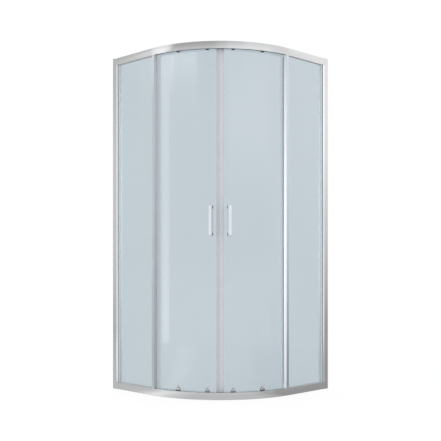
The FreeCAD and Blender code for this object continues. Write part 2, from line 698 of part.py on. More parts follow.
def make_strike_post(side):
    """Post on the free edge of the fixed pane, with tongues that sit in the rail grooves."""
    start, end = "Layout.strike_start", "Layout.strike_end"
    front, back = "Sizes.strike_recess", "Layout.strike_back"
    groove_floor = "Layout.strike_start + Layout.glass_bite + Sizes.slip_gap"
    groove_front = "Sizes.glass_setback - Sizes.slip_gap"
    groove_back = "Sizes.glass_setback + Sizes.fixed_glass + Sizes.slip_gap"
    section = [
        (start, front), (end, front), (end, back), ("Layout.slot_end", back),
        ("Layout.slot_end", "Layout.slot_floor"), ("Layout.slot_start", "Layout.slot_floor"),
        ("Layout.slot_start", back), (f"{start} + Sizes.rail_wall", back),
        (f"{start} + Sizes.rail_wall", f"{back} + Sizes.strike_lip"),
        (start, f"{back} + Sizes.strike_lip"), (start, groove_back), (groove_floor, groove_back),
        (groove_floor, groove_front), (start, groove_front),
    ]
    chamber = box_points(f"{groove_floor} + Sizes.lip_wall", f"{end} - Sizes.lip_wall",
                         f"{front} + Sizes.lip_wall", "Layout.slot_floor - Sizes.lip_wall")
    body = upright(f"strike_post_{side.name}", side, [section, chamber], "Sizes.rail_height",
                   from_top("Sizes.rail_height"))
    tongue = box_points(groove_floor, f"{groove_floor} + Sizes.lip_wall",
                        "Sizes.glass_setback", "Sizes.glass_setback + Sizes.fixed_glass")
    sketch = new_sketch(body, "XY_Plane", "Layout.glass_drop")
    outline(sketch, [(along, panel_depth(side, depth)) for along, depth in tongue])
    extrude(body, "Pad", sketch, "Sizes.total_height - 2 * Layout.glass_drop")
    return body


def make_strike_seal(side):
    """Pile strip in the back of the strike post that brushes the door glass."""
    pile_start = "(Layout.slot_start + Layout.slot_end - Sizes.pile_width) / 2"
    pile_end = "(Layout.slot_start + Layout.slot_end + Sizes.pile_width) / 2"
    base_start = "Layout.slot_start + Sizes.slip_gap"
    base_end = "Layout.slot_end - Sizes.slip_gap"
    floor = "Layout.slot_floor + Sizes.slip_gap"
    tip = "Layout.door_front - Sizes.seal_gap"
    section = [
        (base_start, floor), (base_end, floor), (base_end, "Layout.strike_back"),
        (pile_end, "Layout.strike_back"), (pile_end, tip), (pile_start, tip),
        (pile_start, "Layout.strike_back"), (base_start, "Layout.strike_back"),
    ]
    return upright(f"strike_seal_{side.name}", side, [section], "Layout.pile_bottom", "Layout.pile_top")


def make_door_stops():
    """Rubber blocks on the top shelf where the leading wheels come to rest."""
    points = box_points("Layout.stop_face - Sizes.stop_length", "Layout.stop_face",
                        "Sizes.rail_wall + Sizes.slip_gap",
                        "Sizes.shelf_reach - Sizes.bead_width - Sizes.slip_gap")
    low = from_top("Sizes.shelf_drop")
    high = f"{low} + Sizes.stop_height"
    return group("door_stops", [upright("door_stop", side, [points], low, high) for side in SIDES])


# Doors

def side_turn(side, turn):
    """Signed angle from the seam on one side."""
    return signed(side.lean, turn)


def door_heights(drop):
    """Lower and upper height of a door piece that stops short of both rail edges."""
    return drop, from_top(drop)


def roller_places(side):
    """Name and signed angle of the rollers of a door."""
    return [("inner", side_turn(side, "Layout.inner_turn")), ("outer", side_turn(side, "Layout.outer_turn"))]


def roller_bolt_places(side):
    """Signed angle and height of the roller bolts of a door."""
    return [(turn, level) for _, turn in roller_places(side)
            for level in ("Layout.top_bolt", "Sizes.bottom_bolt_height")]


def handle_bolt_levels():
    """Heights of the bolts of a handle."""
    return [f"Sizes.handle_level {sign} Layout.handle_leg_level" for sign in "-+"]


def make_door_glass(side):
    """Curved pane with holes for the roller bushes and the handle bolts."""
    name = f"door_glass_{side.name}"
    pane = sector(f"{name}_pane", side, ("Layout.door_front", "Layout.door_back"),
                  ("Layout.glass_start", "Layout.glass_end"), door_heights("Sizes.door_edge_drop"))
    through = ("Layout.door_front - Sizes.cut_over", "Layout.door_back + Sizes.cut_over")
    holes = [turned(f"{name}_hole", turn, level, rod(*through, "Layout.bush_radius + Sizes.slip_gap"))
             for turn, level in roller_bolt_places(side)]
    handle = side_turn(side, "Layout.handle_turn")
    bolt_hole = rod(*through, "Sizes.handle_bolt_radius + Sizes.handle_bolt_gap")
    holes += [turned(f"{name}_hole", handle, level, bolt_hole) for level in handle_bolt_levels()]
    return cut(name, pane, holes)


def seal_depths():
    """Outer and inner depth of the clips on the door glass, outside and at the glass."""
    slot = ("Layout.door_front - Sizes.slip_gap", "Layout.door_back + Sizes.slip_gap")
    return (f"{slot[0]} - Sizes.seal_wall", f"{slot[1]} + Sizes.seal_wall"), slot


def magnet_place():
    """Depths and angles of the magnet strip in its seal."""
    middle = "(Layout.door_front + Layout.door_back) / 2"
    depths = (f"{middle} - Sizes.magnet_depth / 2", f"{middle} + Sizes.magnet_depth / 2")
    start = "Sizes.seam_gap + Sizes.seal_wall + Sizes.slip_gap"
    turns = (f"({start}) * Layout.degrees", f"({start} + Sizes.magnet_width) * Layout.degrees")
    return depths, turns


def make_magnetic_seal(side):
    """Clear seal on the leading edge with a pocket for its magnet strip."""
    name = f"magnetic_seal_{side.name}"
    drop = "Sizes.door_edge_drop + Sizes.seal_end_drop"
    outer, slot = seal_depths()
    clip_end = "(Sizes.seam_gap + Sizes.seal_head + Sizes.seal_clip) * Layout.degrees"
    block = sector(f"{name}_block", side, outer, ("Sizes.seam_gap * Layout.degrees", clip_end),
                   door_heights(drop))
    past = door_heights(f"{drop} - Sizes.cut_over")
    glass_slot = sector(f"{name}_slot", side, slot,
                        ("Layout.glass_start - Sizes.slip_gap * Layout.degrees",
                         f"{clip_end} + Sizes.cut_turn"), past)
    depths, turns = magnet_place()
    pocket = sector(f"{name}_pocket", side,
                    (f"{depths[0]} - Sizes.slip_gap", f"{depths[1]} + Sizes.slip_gap"),
                    (f"{turns[0]} - Sizes.slip_gap * Layout.degrees",
                     f"{turns[1]} + Sizes.slip_gap * Layout.degrees"), past)
    return cut(name, block, [glass_slot, pocket])


def make_magnet_strip(side):
    """Magnet strip inside the seal of the leading edge."""
    depths, turns = magnet_place()
    heights = door_heights("Sizes.door_edge_drop + Sizes.seal_end_drop")
    return sector(f"magnet_strip_{side.name}", side, depths, turns, heights)


def make_edge_seal(side):
    """Clip on the trailing edge with a fin that closes behind the strike post lip."""
    name = f"door_edge_seal_{side.name}"
    drop = "Sizes.rail_height + Sizes.edge_seal_drop"
    outer, slot = seal_depths()
    clip_start = "Layout.glass_end - Sizes.edge_clip * Layout.degrees"
    slot_end = "Layout.glass_end + Sizes.slip_gap * Layout.degrees"
    block = sector(f"{name}_block", side, outer,
                   (clip_start, f"{slot_end} + Sizes.seal_wall * Layout.degrees"), door_heights(drop))
    past = door_heights(f"{drop} - Sizes.cut_over")
    glass_slot = sector(f"{name}_slot", side, slot, (f"{clip_start} - Sizes.cut_turn", slot_end), past)
    clip = cut(f"{name}_clip", block, [glass_slot])
    fin_start = "45 + (Sizes.seal_gap - Sizes.strike_shift) * Layout.degrees"
    fin = sector(f"{name}_fin", side, ("Layout.strike_back + Sizes.seal_gap", f"{outer[0]} + Sizes.fin_bite"),
                 (fin_start, f"{fin_start} + Sizes.fin_width * Layout.degrees"), door_heights(drop))
    return fuse(name, [clip, fin])


def make_handle(side):
    """Flat bar handle with two legs, drilled for its bolts."""
    name = f"handle_{side.name}"
    turn = side_turn(side, "Layout.handle_turn")
    body = new_body(f"{name}_bar")
    place_on_arc(body, turn)
    foot = "Sizes.slip_gap / 2 - Layout.door_front"
    face = "Sizes.handle_reach - Layout.door_front"
    bar = f"{face} - Sizes.handle_bar"
    low, high = ("Sizes.handle_level - Sizes.handle_height / 2", "Sizes.handle_level + Sizes.handle_height / 2")
    sketch = new_sketch(body, "XZ_Plane")
    outline(sketch, [
        (foot, low), (face, low), (face, high), (foot, high),
        (foot, f"{high} - Sizes.handle_leg"), (bar, f"{high} - Sizes.handle_leg"),
        (bar, f"{low} + Sizes.handle_leg"), (foot, f"{low} + Sizes.handle_leg"),
    ])
    shape = extrude(body, "Pad", sketch, "Sizes.handle_width", symmetric=True)
    doc.recompute()
    fillet = body.newObject("PartDesign::Fillet", f"{name}_fillet")
    fillet.Base = (shape, ["Edge1"])
    fillet.UseAllEdges = True
    fillet.setExpression("Radius", "Sizes.handle_round")
    profile = rod("Layout.door_front - Sizes.handle_bolt_bite - Sizes.cut_over",
                  "Layout.door_front + Sizes.cut_over", "Sizes.handle_bolt_radius + Sizes.turn_gap")
    return cut(name, body, [turned(f"{name}_hole", turn, level, profile) for level in handle_bolt_levels()])


def make_handle_bolts(side):
    """Round head bolts that hold a handle from inside the cabin."""
    tip = "Layout.door_front - Sizes.handle_bolt_bite"
    seat = "Layout.door_back + Sizes.slip_gap / 2"
    crown = f"{seat} + Sizes.handle_bolt_rise"
    profile = [
        (tip, "0"), (crown, "0"), (crown, "Sizes.handle_bolt_head - Sizes.handle_bolt_chamfer"),
        (f"{crown} - Sizes.handle_bolt_chamfer", "Sizes.handle_bolt_head"), (seat, "Sizes.handle_bolt_head"),
        (seat, "Sizes.handle_bolt_radius"), (tip, "Sizes.handle_bolt_radius"),
    ]
    turn = side_turn(side, "Layout.handle_turn")
    return group(f"handle_bolts_{side.name}", [
        turned("handle_bolt", turn, level, profile) for level in handle_bolt_levels()])


# Rollers

def wheel_profile():
    """Section of a wheel with a rounded rim and a bore."""
    front, back = "Sizes.wheel_setback", "Layout.wheel_back"
    bore = "Sizes.axle_radius + Sizes.turn_gap"
    shoulder = "Sizes.wheel_radius - Sizes.wheel_round"
    return [
        (front, bore), (back, bore), (back, shoulder), (f"{back} - Sizes.wheel_round", "Sizes.wheel_radius"),
        (f"{front} + Sizes.wheel_round", "Sizes.wheel_radius"), (front, shoulder),
    ]


def axle_profile(end):
    """Section of an axle with an outer head, from the head to a depth."""
    front = "Sizes.wheel_setback - Sizes.slip_gap"
    back = "Layout.wheel_back + Sizes.slip_gap"
    head = f"{front} - Sizes.axle_head"
    return [
        (head, "0"), (end, "0"), (end, "Sizes.axle_radius"), ("Layout.plate_front", "Sizes.axle_radius"),
        ("Layout.plate_front", "Sizes.axle_shoulder"), (back, "Sizes.axle_shoulder"),
        (back, "Sizes.axle_radius"), (front, "Sizes.axle_radius"), (front, "Sizes.axle_shoulder"),
        (head, "Sizes.axle_shoulder"),
    ]


def bolt_recess(level, turn, name):
    """Cutter for a roller bolt and its sunk head."""
    seat = "Layout.plate_front + Sizes.bolt_head_depth + Sizes.slip_gap"
    front = "Layout.plate_front - Sizes.cut_over"
    back = "Layout.boss_back + Sizes.cut_over"
    shank = "Sizes.bolt_radius + Sizes.turn_gap"
    profile = [(front, "0"), (back, "0"), (back, shank), (seat, shank),
               (seat, "Sizes.bolt_head + Sizes.slip_gap"), (front, "Sizes.bolt_head + Sizes.slip_gap")]
    return turned(name, turn, level, profile)


def paired_tangents():
    """Distances of a roller's two wheels along the tangent."""
    return [("a", "-Sizes.wheel_pitch / 2"), ("b", "Sizes.wheel_pitch / 2")]


def make_top_roller_body(side, place_name, turn):
    """Plate that carries two wheels, with a round boss against the door glass."""
    name = f"top_roller_body_{side.name}_{place_name}"
    body = new_body(f"{name}_plate")
    place_on_arc(body, turn)
    sketch = new_sketch(body, "YZ_Plane", "-Layout.plate_front")
    half, waist = "Sizes.roller_bar / 2", "Sizes.roller_waist"
    top = "Layout.wheel_high + Sizes.roller_bar_height / 2"
    low = "Layout.wheel_high - Sizes.roller_bar_height / 2"
    outline(sketch, [
        (f"-{half}", low), (f"-{waist}", "Layout.top_bolt"), (waist, "Layout.top_bolt"),
        (half, low), (half, top), (f"-{half}", top),
    ])
    extrude(body, "Pad", sketch, "Sizes.roller_plate", reverse=True)
    boss = new_sketch(body, "YZ_Plane", "-Layout.plate_front")
    circle(boss, "0", "Layout.top_bolt", "Sizes.boss_radius")
    extrude(body, "Pad", boss, "Sizes.boss_depth", reverse=True)
    holes = [bolt_recess("Layout.top_bolt", turn, f"{name}_hole")]
    profile = rod("Layout.plate_front - Sizes.cut_over",
                  "Layout.plate_front + Sizes.roller_plate + Sizes.cut_over",
                  "Sizes.axle_radius + Sizes.turn_gap")
    holes += [turned(f"{name}_hole", turn, "Layout.wheel_high", profile, tangent)
              for _, tangent in paired_tangents()]
    return cut(name, body, holes)


def make_bottom_housing(side, place_name, turn):
    """Round housing with an upright channel for the release slider."""
    name = f"bottom_roller_housing_{side.name}_{place_name}"
    body = new_body(f"{name}_disc")
    place_on_arc(body, turn)
    sketch = new_sketch(body, "YZ_Plane", "-Layout.plate_front")
    circle(sketch, "0", "Sizes.bottom_bolt_height", "Sizes.boss_radius")
    extrude(body, "Pad", sketch, "Sizes.boss_depth", reverse=True)
    channel = new_sketch(body, "YZ_Plane", "-Layout.boss_back")
    half = "Sizes.slider_width / 2 + Sizes.slip_gap"
    reach = "(Sizes.boss_radius + Sizes.cut_over)"
    rectangle(channel, f"-({half})", half, f"Sizes.bottom_bolt_height - {reach}",
              f"Sizes.bottom_bolt_height + {reach}")
    extrude(body, "Pocket", channel, "Sizes.slider_depth + 2 * Sizes.slip_gap", reverse=True)
    return cut(name, body, [bolt_recess("Sizes.bottom_bolt_height", turn, f"{name}_hole")])


def make_release_slider(side, place_name, turn):
    """Slider with the wheel axle below, a window for the bolt and a button on top."""
    name = f"release_slider_{side.name}_{place_name}"
    body = new_body(f"{name}_plate")
    place_on_arc(body, turn)
    half = "Sizes.slider_width / 2"
    button_half = f"({half} + Sizes.button_overhang)"
    button_top = "Layout.button_base + Sizes.button_height"
    sketch = new_sketch(body, "YZ_Plane", "-Layout.slider_front")
    rectangle(sketch, f"-{half}", half, "Layout.wheel_low - Sizes.slider_foot", button_top)
    extrude(body, "Pad", sketch, "Sizes.slider_depth", reverse=True)
    button = new_sketch(body, "YZ_Plane", "-Layout.plate_front")
    rectangle(button, f"-{button_half}", button_half, "Layout.button_base", button_top)
    extrude(body, "Pad", button, "Sizes.boss_depth - Sizes.slip_gap", reverse=True)
    window = new_sketch(body, "YZ_Plane", "-Layout.slider_front")
    clear = "Sizes.bolt_radius + Sizes.slip_gap"
    rectangle(window, f"-({clear})", clear, f"Sizes.bottom_bolt_height - ({clear})",
              f"Sizes.bottom_bolt_height + {clear} + Sizes.press_travel")
    extrude(body, "Pocket", window, "Sizes.slider_depth")
    axle = turned(f"{name}_axle", turn, "Layout.wheel_low", slider_axle_profile())
    return fuse(name, [body, axle])


def slider_axle_profile():
    """Section of the axle that is one piece with the slider."""
    front = "Sizes.wheel_setback - Sizes.slip_gap"
    back = "Layout.wheel_back + Sizes.slip_gap"
    head = f"{front} - Sizes.axle_head"
    end = "Layout.slider_front + Sizes.slider_depth / 2"
    return [
        (head, "0"), (end, "0"), (end, "Sizes.axle_shoulder"), (back, "Sizes.axle_shoulder"),
        (back, "Sizes.axle_radius"), (front, "Sizes.axle_radius"), (front, "Sizes.axle_shoulder"),
        (head, "Sizes.axle_shoulder"),
    ]


def make_roller_bolts(side):
    """Bolts with sunk heads that join the rollers to the inner caps."""
    front = "Layout.plate_front + Sizes.slip_gap"
    seat = "Layout.plate_front + Sizes.bolt_head_depth + Sizes.slip_gap"
    tip = "Layout.door_back + Sizes.cap_depth / 2"
    profile = [(front, "0"), (tip, "0"), (tip, "Sizes.bolt_radius"), (seat, "Sizes.bolt_radius"),
               (seat, "Sizes.bolt_head"), (front, "Sizes.bolt_head")]
    return group(f"roller_bolts_{side.name}", [
        turned("roller_bolt", turn, level, profile) for turn, level in roller_bolt_places(side)])


def make_roller_caps(side):
    """Inner caps with a bush that lines the hole in the glass."""
    nose = "Layout.door_front + Sizes.slip_gap"
    seat = "Layout.door_back + Sizes.slip_gap"
    crown = f"{seat} + Sizes.cap_depth"
    bore = "Sizes.bolt_radius + Sizes.turn_gap"
    floor = "Layout.door_back + Sizes.cap_depth / 2 + Sizes.slip_gap"
    profile = [
        (nose, bore), (floor, bore), (floor, "0"), (crown, "0"),
        (crown, "Sizes.cap_radius - Sizes.cap_chamfer"),
        (f"{crown} - Sizes.cap_chamfer", "Sizes.cap_radius"), (seat, "Sizes.cap_radius"),
        (seat, "Layout.bush_radius"), (nose, "Layout.bush_radius"),
    ]
    return group(f"roller_caps_{side.name}", [
        turned("roller_cap", turn, level, profile) for turn, level in roller_bolt_places(side)])


def make_rollers(side):
    """All roller pieces of one door."""
    pieces = []
    axles = []
    plate_back = "Layout.plate_front + Sizes.roller_plate"
    for place_name, turn in roller_places(side):
        pieces.append(make_top_roller_body(side, place_name, turn))
        for wheel_name, tangent in paired_tangents():
            pieces.append(turned(f"top_wheel_{side.name}_{place_name}_{wheel_name}", turn,
                                 "Layout.wheel_high", wheel_profile(), signed(side.lean, tangent)))
            axles.append(turned("roller_axle", turn, "Layout.wheel_high", axle_profile(plate_back), tangent))
        pieces.append(make_bottom_housing(side, place_name, turn))
        pieces.append(make_release_slider(side, place_name, turn))
        pieces.append(turned(f"bottom_wheel_{side.name}_{place_name}", turn, "Layout.wheel_low",
                             wheel_profile()))
    pieces.append(group(f"roller_axles_{side.name}", axles))
    pieces.append(make_roller_bolts(side))
    pieces.append(make_roller_caps(side))
    return pieces


def make_pieces():
    """Build every piece of the cabin."""
    pieces = [make_rail("top_rail", True), make_rail("bottom_rail", False), make_corner_screws(),
              make_post_screws(), make_post_screw_covers(), make_door_stops()]
    makers = (make_wall_channel, make_wall_post, make_fixed_glass, make_glazing_gasket, make_strike_post,
              make_strike_seal, make_door_glass, make_magnetic_seal, make_magnet_strip, make_edge_seal,
              make_handle, make_handle_bolts)
    for side in SIDES:
        pieces += [maker(side) for maker in makers]
        pieces += make_rollers(side)
    return pieces


def export_pieces(pieces):
    """Check every object and write each piece to its own file."""
    for feature in doc.Objects:
        if "Invalid" in feature.State or "Error" in feature.State:
            raise RuntimeError(f"{feature.Label} did not compute: {feature.State}")
    os.makedirs("parts", exist_ok=True)
    for piece in pieces:
        shape = piece.Shape
        if shape.isNull() or not shape.isValid() or not shape.Solids:
            raise RuntimeError(f"{piece.Label} has no valid solid")
        shape.exportStep(f"parts/{piece.Label}.step")


all_pieces = make_pieces()
doc.recompute()
export_pieces(all_pieces)
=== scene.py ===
"""Looks of a corner shower cabin: finishes, small fittings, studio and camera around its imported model."""
import json
import logging
import math
import random
from abc import ABC, abstractmethod
from collections.abc import Iterable
from dataclasses import dataclass
from enum import Enum

import bmesh
import bpy
from mathutils import Matrix, Vector


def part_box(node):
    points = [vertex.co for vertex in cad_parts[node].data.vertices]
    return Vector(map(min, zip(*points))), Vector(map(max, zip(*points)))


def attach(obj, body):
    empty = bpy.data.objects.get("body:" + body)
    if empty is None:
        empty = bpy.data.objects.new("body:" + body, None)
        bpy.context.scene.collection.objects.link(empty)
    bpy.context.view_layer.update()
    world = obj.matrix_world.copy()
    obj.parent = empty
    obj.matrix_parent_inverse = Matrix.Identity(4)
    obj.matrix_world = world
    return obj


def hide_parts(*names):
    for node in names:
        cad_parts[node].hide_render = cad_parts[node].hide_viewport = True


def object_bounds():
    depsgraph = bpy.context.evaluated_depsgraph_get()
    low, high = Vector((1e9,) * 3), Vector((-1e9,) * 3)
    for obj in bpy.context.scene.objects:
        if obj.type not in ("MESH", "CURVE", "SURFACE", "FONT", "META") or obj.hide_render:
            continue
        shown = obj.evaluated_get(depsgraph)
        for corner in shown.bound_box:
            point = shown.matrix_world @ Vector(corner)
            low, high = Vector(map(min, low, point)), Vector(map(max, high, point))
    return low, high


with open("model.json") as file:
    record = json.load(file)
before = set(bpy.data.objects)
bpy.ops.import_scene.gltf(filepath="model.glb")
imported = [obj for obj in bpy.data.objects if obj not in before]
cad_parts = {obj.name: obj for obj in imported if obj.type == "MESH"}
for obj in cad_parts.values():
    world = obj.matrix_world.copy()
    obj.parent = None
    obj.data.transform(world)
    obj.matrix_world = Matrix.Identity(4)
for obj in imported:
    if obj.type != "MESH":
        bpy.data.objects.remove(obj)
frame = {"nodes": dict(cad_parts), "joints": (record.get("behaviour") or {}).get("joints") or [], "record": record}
CAD_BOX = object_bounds()

MM = 0.001
UP = Vector((0, 0, 1))
WHITE = (1, 1, 1, 1)
SMOOTH_ANGLE = math.radians(38)
# Degrees between the first axis of the frame and the seam of the doors
DIAGONAL = 45.0
# Length by which a cutting tool stands out of the body that it cuts
OVERCUT = 1 * MM
LOG = logging.getLogger("shower")

Colour = tuple[float, float, float]
Pair = tuple[float, float]
Profile = list[Pair]
Ring = list[bmesh.types.BMVert]


class Side(Enum):
    """One half of the cabin, with the sign of its angles from the door seam."""

    LEFT = -1
    RIGHT = 1

    @property
    def word(self) -> str:
        """Word used in the names of the pieces on this side."""
        return self.name.lower()


@dataclass(frozen=True)
class Plan:
    """Main places of the cabin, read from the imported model.

    Attributes:
        centre: foot of the axis that the curved rails and doors turn about.
        rail_radius: radius of the outer face of the rails.
        door_radius: radius of the outer face of the door glass.
        half_side: half of the side of the footprint square.
        height: height of the frame.
        glass: thickness of the door glass.
    """

    centre: Vector
    rail_radius: float
    door_radius: float
    half_side: float
    height: float
    glass: float = 5 * MM

    @classmethod
    def from_frame(cls) -> "Plan":
        """Read the plan from the door joint and the boxes of the frame.

        Returns:
            The plan.
        """
        glide = next(joint for joint in frame["joints"] if joint["name"] == "door_left_glide")
        centre = Vector(glide["pos_m"])
        rail_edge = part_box("top_rail")[1].x
        door_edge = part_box("door_glass_right")[1].x
        return cls(centre, rail_edge - centre.x, door_edge - centre.x, CAD_BOX[1].x, CAD_BOX[1].z)

    @property
    def rail_face(self) -> float:
        """Depth of the rail face behind the outer face of the wall channels."""
        return self.half_side - self.centre.x - self.rail_radius

    @property
    def pane_front(self) -> float:
        """Depth of the outer face of the door glass behind the rail face."""
        return self.rail_radius - self.door_radius

    @property
    def pane_back(self) -> float:
        """Depth of the inner face of the door glass behind the rail face."""
        return self.pane_front + self.glass

    def outward(self, turn: float) -> Vector:
        """Direction out of the cabin at an angle in degrees from the seam, right positive."""
        angle = math.radians(turn - DIAGONAL)
        return Vector((math.cos(angle), math.sin(angle), 0))

    def door_place(self, side: Side, along: float, level: float) -> Matrix:
        """Frame on the curved rail face before a closed door: first axis inward, third axis up.

        Args:
            side: half of the cabin.
            along: distance from the seam, along the middle of the door glass.
            level: height of the origin.

        Returns:
            The frame as a matrix.
        """
        turn = math.degrees(along / (self.door_radius - self.glass / 2))
        outward = self.outward(side.value * turn)
        return place_matrix(-outward, self.centre + outward * self.rail_radius + UP * level)

    def wall_place(self, side: Side, along: float = 0.0, level: float = 0.0) -> Matrix:
        """Frame on the rail face of a flat panel: first axis inward, third axis up.

        Args:
            side: half of the cabin.
            along: distance from the wall.
            level: height of the origin.

        Returns:
            The frame as a matrix.
        """
        edge = self.half_side - self.rail_face
        if side is Side.LEFT:
            return place_matrix(Vector((0, 1, 0)), Vector((along - self.half_side, -edge, level)))
        return place_matrix(Vector((-1, 0, 0)), Vector((edge, self.half_side - along, level)))


def levels(node: str) -> Pair:
    """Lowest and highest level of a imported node."""
    low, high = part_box(node)
    return low.z, high.z


def between_rails() -> Pair:
    """Level of the bottom rail's upper edge and of the top rail's lower edge."""
    return levels("bottom_rail")[1], levels("top_rail")[0]


def place_matrix(inward: Vector, origin: Vector) -> Matrix:
    """Frame with a level first axis and an upright third axis."""
    across = UP.cross(inward)
    return Matrix.Translation(origin) @ Matrix((inward, across, UP)).transposed().to_4x4()


def along_axis(origin: Vector, axis: Vector) -> Matrix:
    """Frame at a point with its first axis along a direction."""
    return Matrix.Translation(origin) @ axis.to_track_quat("X", "Z").to_matrix().to_4x4()


PLAN = Plan.from_frame()


# Node trees

class Wiring:
    """Adds and joins the nodes of one node tree."""

    def __init__(self, tree: bpy.types.NodeTree) -> None:
        """Keep the tree that gets the nodes."""
        self.tree = tree

    def add(self, kind: str, inputs: dict | None = None, **settings: object) -> bpy.types.Node:
        """Add a node.

        Args:
            kind: node type without its ShaderNode prefix.
            inputs: values or output sockets for its input sockets, by name or number.
            settings: properties of the node.

        Returns:
            The node.
        """
        node = self.tree.nodes.new(f"ShaderNode{kind}")
        for name, setting in settings.items():
            setattr(node, name, setting)
        for key, content in (inputs or {}).items():
            self.feed(node.inputs[key], content)
        return node

    def feed(self, socket: bpy.types.NodeSocket, content: object) -> None:
        """Join an output socket to an input socket, or set the input's own value.

        Args:
            socket: the input socket.
            content: an output socket or a value.
        """
        if isinstance(content, bpy.types.NodeSocket):
            self.tree.links.new(content, socket)
        else:
            socket.default_value = content

    def place(self) -> bpy.types.NodeSocket:
        """Place of a point in its object's own coordinates."""
        return self.add("TexCoord").outputs["Object"]

    def noise(self, place: bpy.types.NodeSocket, scale: object, detail: float,
              distortion: float = 0.0) -> bpy.types.NodeSocket:
        """Soft noise over a place, around one half."""
        inputs = {"Vector": place, "Scale": scale, "Detail": detail, "Distortion": distortion}
        return self.add("TexNoise", inputs).outputs["Fac"]

    def calculate(self, operation: str, *values: object) -> bpy.types.NodeSocket:
        """Result of a calculation with numbers or output sockets."""
        return self.add("Math", dict(enumerate(values)), operation=operation).outputs[0]

    def stretch(self, value: bpy.types.NodeSocket, low: float, high: float) -> bpy.types.NodeSocket:
        """Map a range of numbers onto a mask from 0 to 1."""
        return self.add("MapRange", {"Value": value, "From Min": low, "From Max": high}).outputs["Result"]

    def spread(self, mask: bpy.types.NodeSocket, low: float, high: float) -> bpy.types.NodeSocket:
        """Map a mask from 0 to 1 onto a range of numbers."""
        return self.add("MapRange", {"Value": mask, "To Min": low, "To Max": high}).outputs["Result"]

    def blend(self, share: bpy.types.NodeSocket, first: bpy.types.Node,
              second: bpy.types.Node) -> bpy.types.NodeSocket:
        """Blend two shaders by the share of the second."""
        mix = self.add("MixShader", {0: share, 1: first.outputs[0], 2: second.outputs[0]})
        return mix.outputs[0]


class Effect(Enum):
    """Surface effects that several finishes share."""

    DRAWN_LINES = "drawn_lines"
    HANDLING_FILM = "handling_film"
    MOULD_GRAIN = "mould_grain"


class EffectShelf:
    """Builds each shared node group once.

    Attributes:
        FINER_LINES: fineness of the lines that lift the metal, as a multiple of those that tone it.
        FILM_SPOTS: fineness of the spots in a film, as a multiple of its patches.
        GRAIN_CLOUDS: fineness of the clouds in plastic, as a share of its grain.
        NOISE_RANGE: middle part of a noise that becomes a tone.
        FILM_RANGE: part of two noises multiplied that becomes a film.
    """

    FINER_LINES = 3.1
    FILM_SPOTS = 11.0
    GRAIN_CLOUDS = 0.04
    NOISE_RANGE = (0.3, 0.7)
    FILM_RANGE = (0.12, 0.4)

    def __init__(self) -> None:
        """Start with no group built."""
        self.made: dict[Effect, bpy.types.NodeTree] = {}

    def take(self, effect: Effect) -> bpy.types.NodeTree:
        """Node group of an effect, built at its first use.

        Args:
            effect: the effect.

        Returns:
            The group.
        """
        if effect not in self.made:
            tree = bpy.data.node_groups.new(effect.value, "ShaderNodeTree")
            getattr(self, effect.value)(tree, Wiring(tree))
            self.made[effect] = tree
        return self.made[effect]

    @staticmethod
    def ends(tree: bpy.types.NodeTree, inputs: dict[str, str],
             outputs: Iterable[str]) -> tuple[bpy.types.NodeOutputs, bpy.types.NodeInputs]:
        """Make the sockets of a group.

        Args:
            tree: the group.
            inputs: name and kind of each input.
            outputs: name of each number that the group puts out.

        Returns:
            The outputs of the group's input node and the inputs of its output node.
        """
        for name, kind in inputs.items():
            tree.interface.new_socket(name=name, in_out="INPUT", socket_type=f"NodeSocket{kind}")
        for name in outputs:
            tree.interface.new_socket(name=name, in_out="OUTPUT", socket_type="NodeSocketFloat")
        return tree.nodes.new("NodeGroupInput").outputs, tree.nodes.new("NodeGroupOutput").inputs

    def drawn_lines(self, tree: bpy.types.NodeTree, wiring: Wiring) -> None:
        """Fine lines left by a die, even along the third axis of the section vector.

        Args:
            tree: the group.
            wiring: wiring of its nodes.
        """
        start, end = self.ends(tree, {"Section": "Vector", "Fineness": "Float"}, ["Tone", "Height"])
        finer = wiring.calculate("MULTIPLY", start["Fineness"], self.FINER_LINES)
        coarse = wiring.noise(start["Section"], start["Fineness"], detail=2.0)
        wiring.feed(end["Tone"], wiring.stretch(coarse, *self.NOISE_RANGE))
        wiring.feed(end["Height"], wiring.noise(start["Section"], finer, detail=1.0))

    def handling_film(self, tree: bpy.types.NodeTree, wiring: Wiring) -> None:
        """Soft uneven film of wiping and water, from 0 to 1.

        Args:
            tree: the group.
            wiring: wiring of its nodes.
        """
        start, end = self.ends(tree, {"Scale": "Float"}, ["Film"])
        place = wiring.place()
        patches = wiring.noise(place, start["Scale"], detail=3.0, distortion=0.6)
        finer = wiring.calculate("MULTIPLY", start["Scale"], self.FILM_SPOTS)
        both = wiring.calculate("MULTIPLY", patches, wiring.noise(place, finer, detail=2.0))
        wiring.feed(end["Film"], wiring.stretch(both, *self.FILM_RANGE))

    def mould_grain(self, tree: bpy.types.NodeTree, wiring: Wiring) -> None:
        """Fine grain of moulded and extruded plastic.

        Args:
            tree: the group.
            wiring: wiring of its nodes.
        """
        start, end = self.ends(tree, {"Scale": "Float"}, ["Tone", "Height"])
        place = wiring.place()
        wider = wiring.calculate("MULTIPLY", start["Scale"], self.GRAIN_CLOUDS)
        clouds = wiring.noise(place, wider, detail=2.0)
        wiring.feed(end["Tone"], wiring.stretch(clouds, *self.NOISE_RANGE))
        wiring.feed(end["Height"], wiring.noise(place, start["Scale"], detail=2.0))


EFFECTS = EffectShelf()


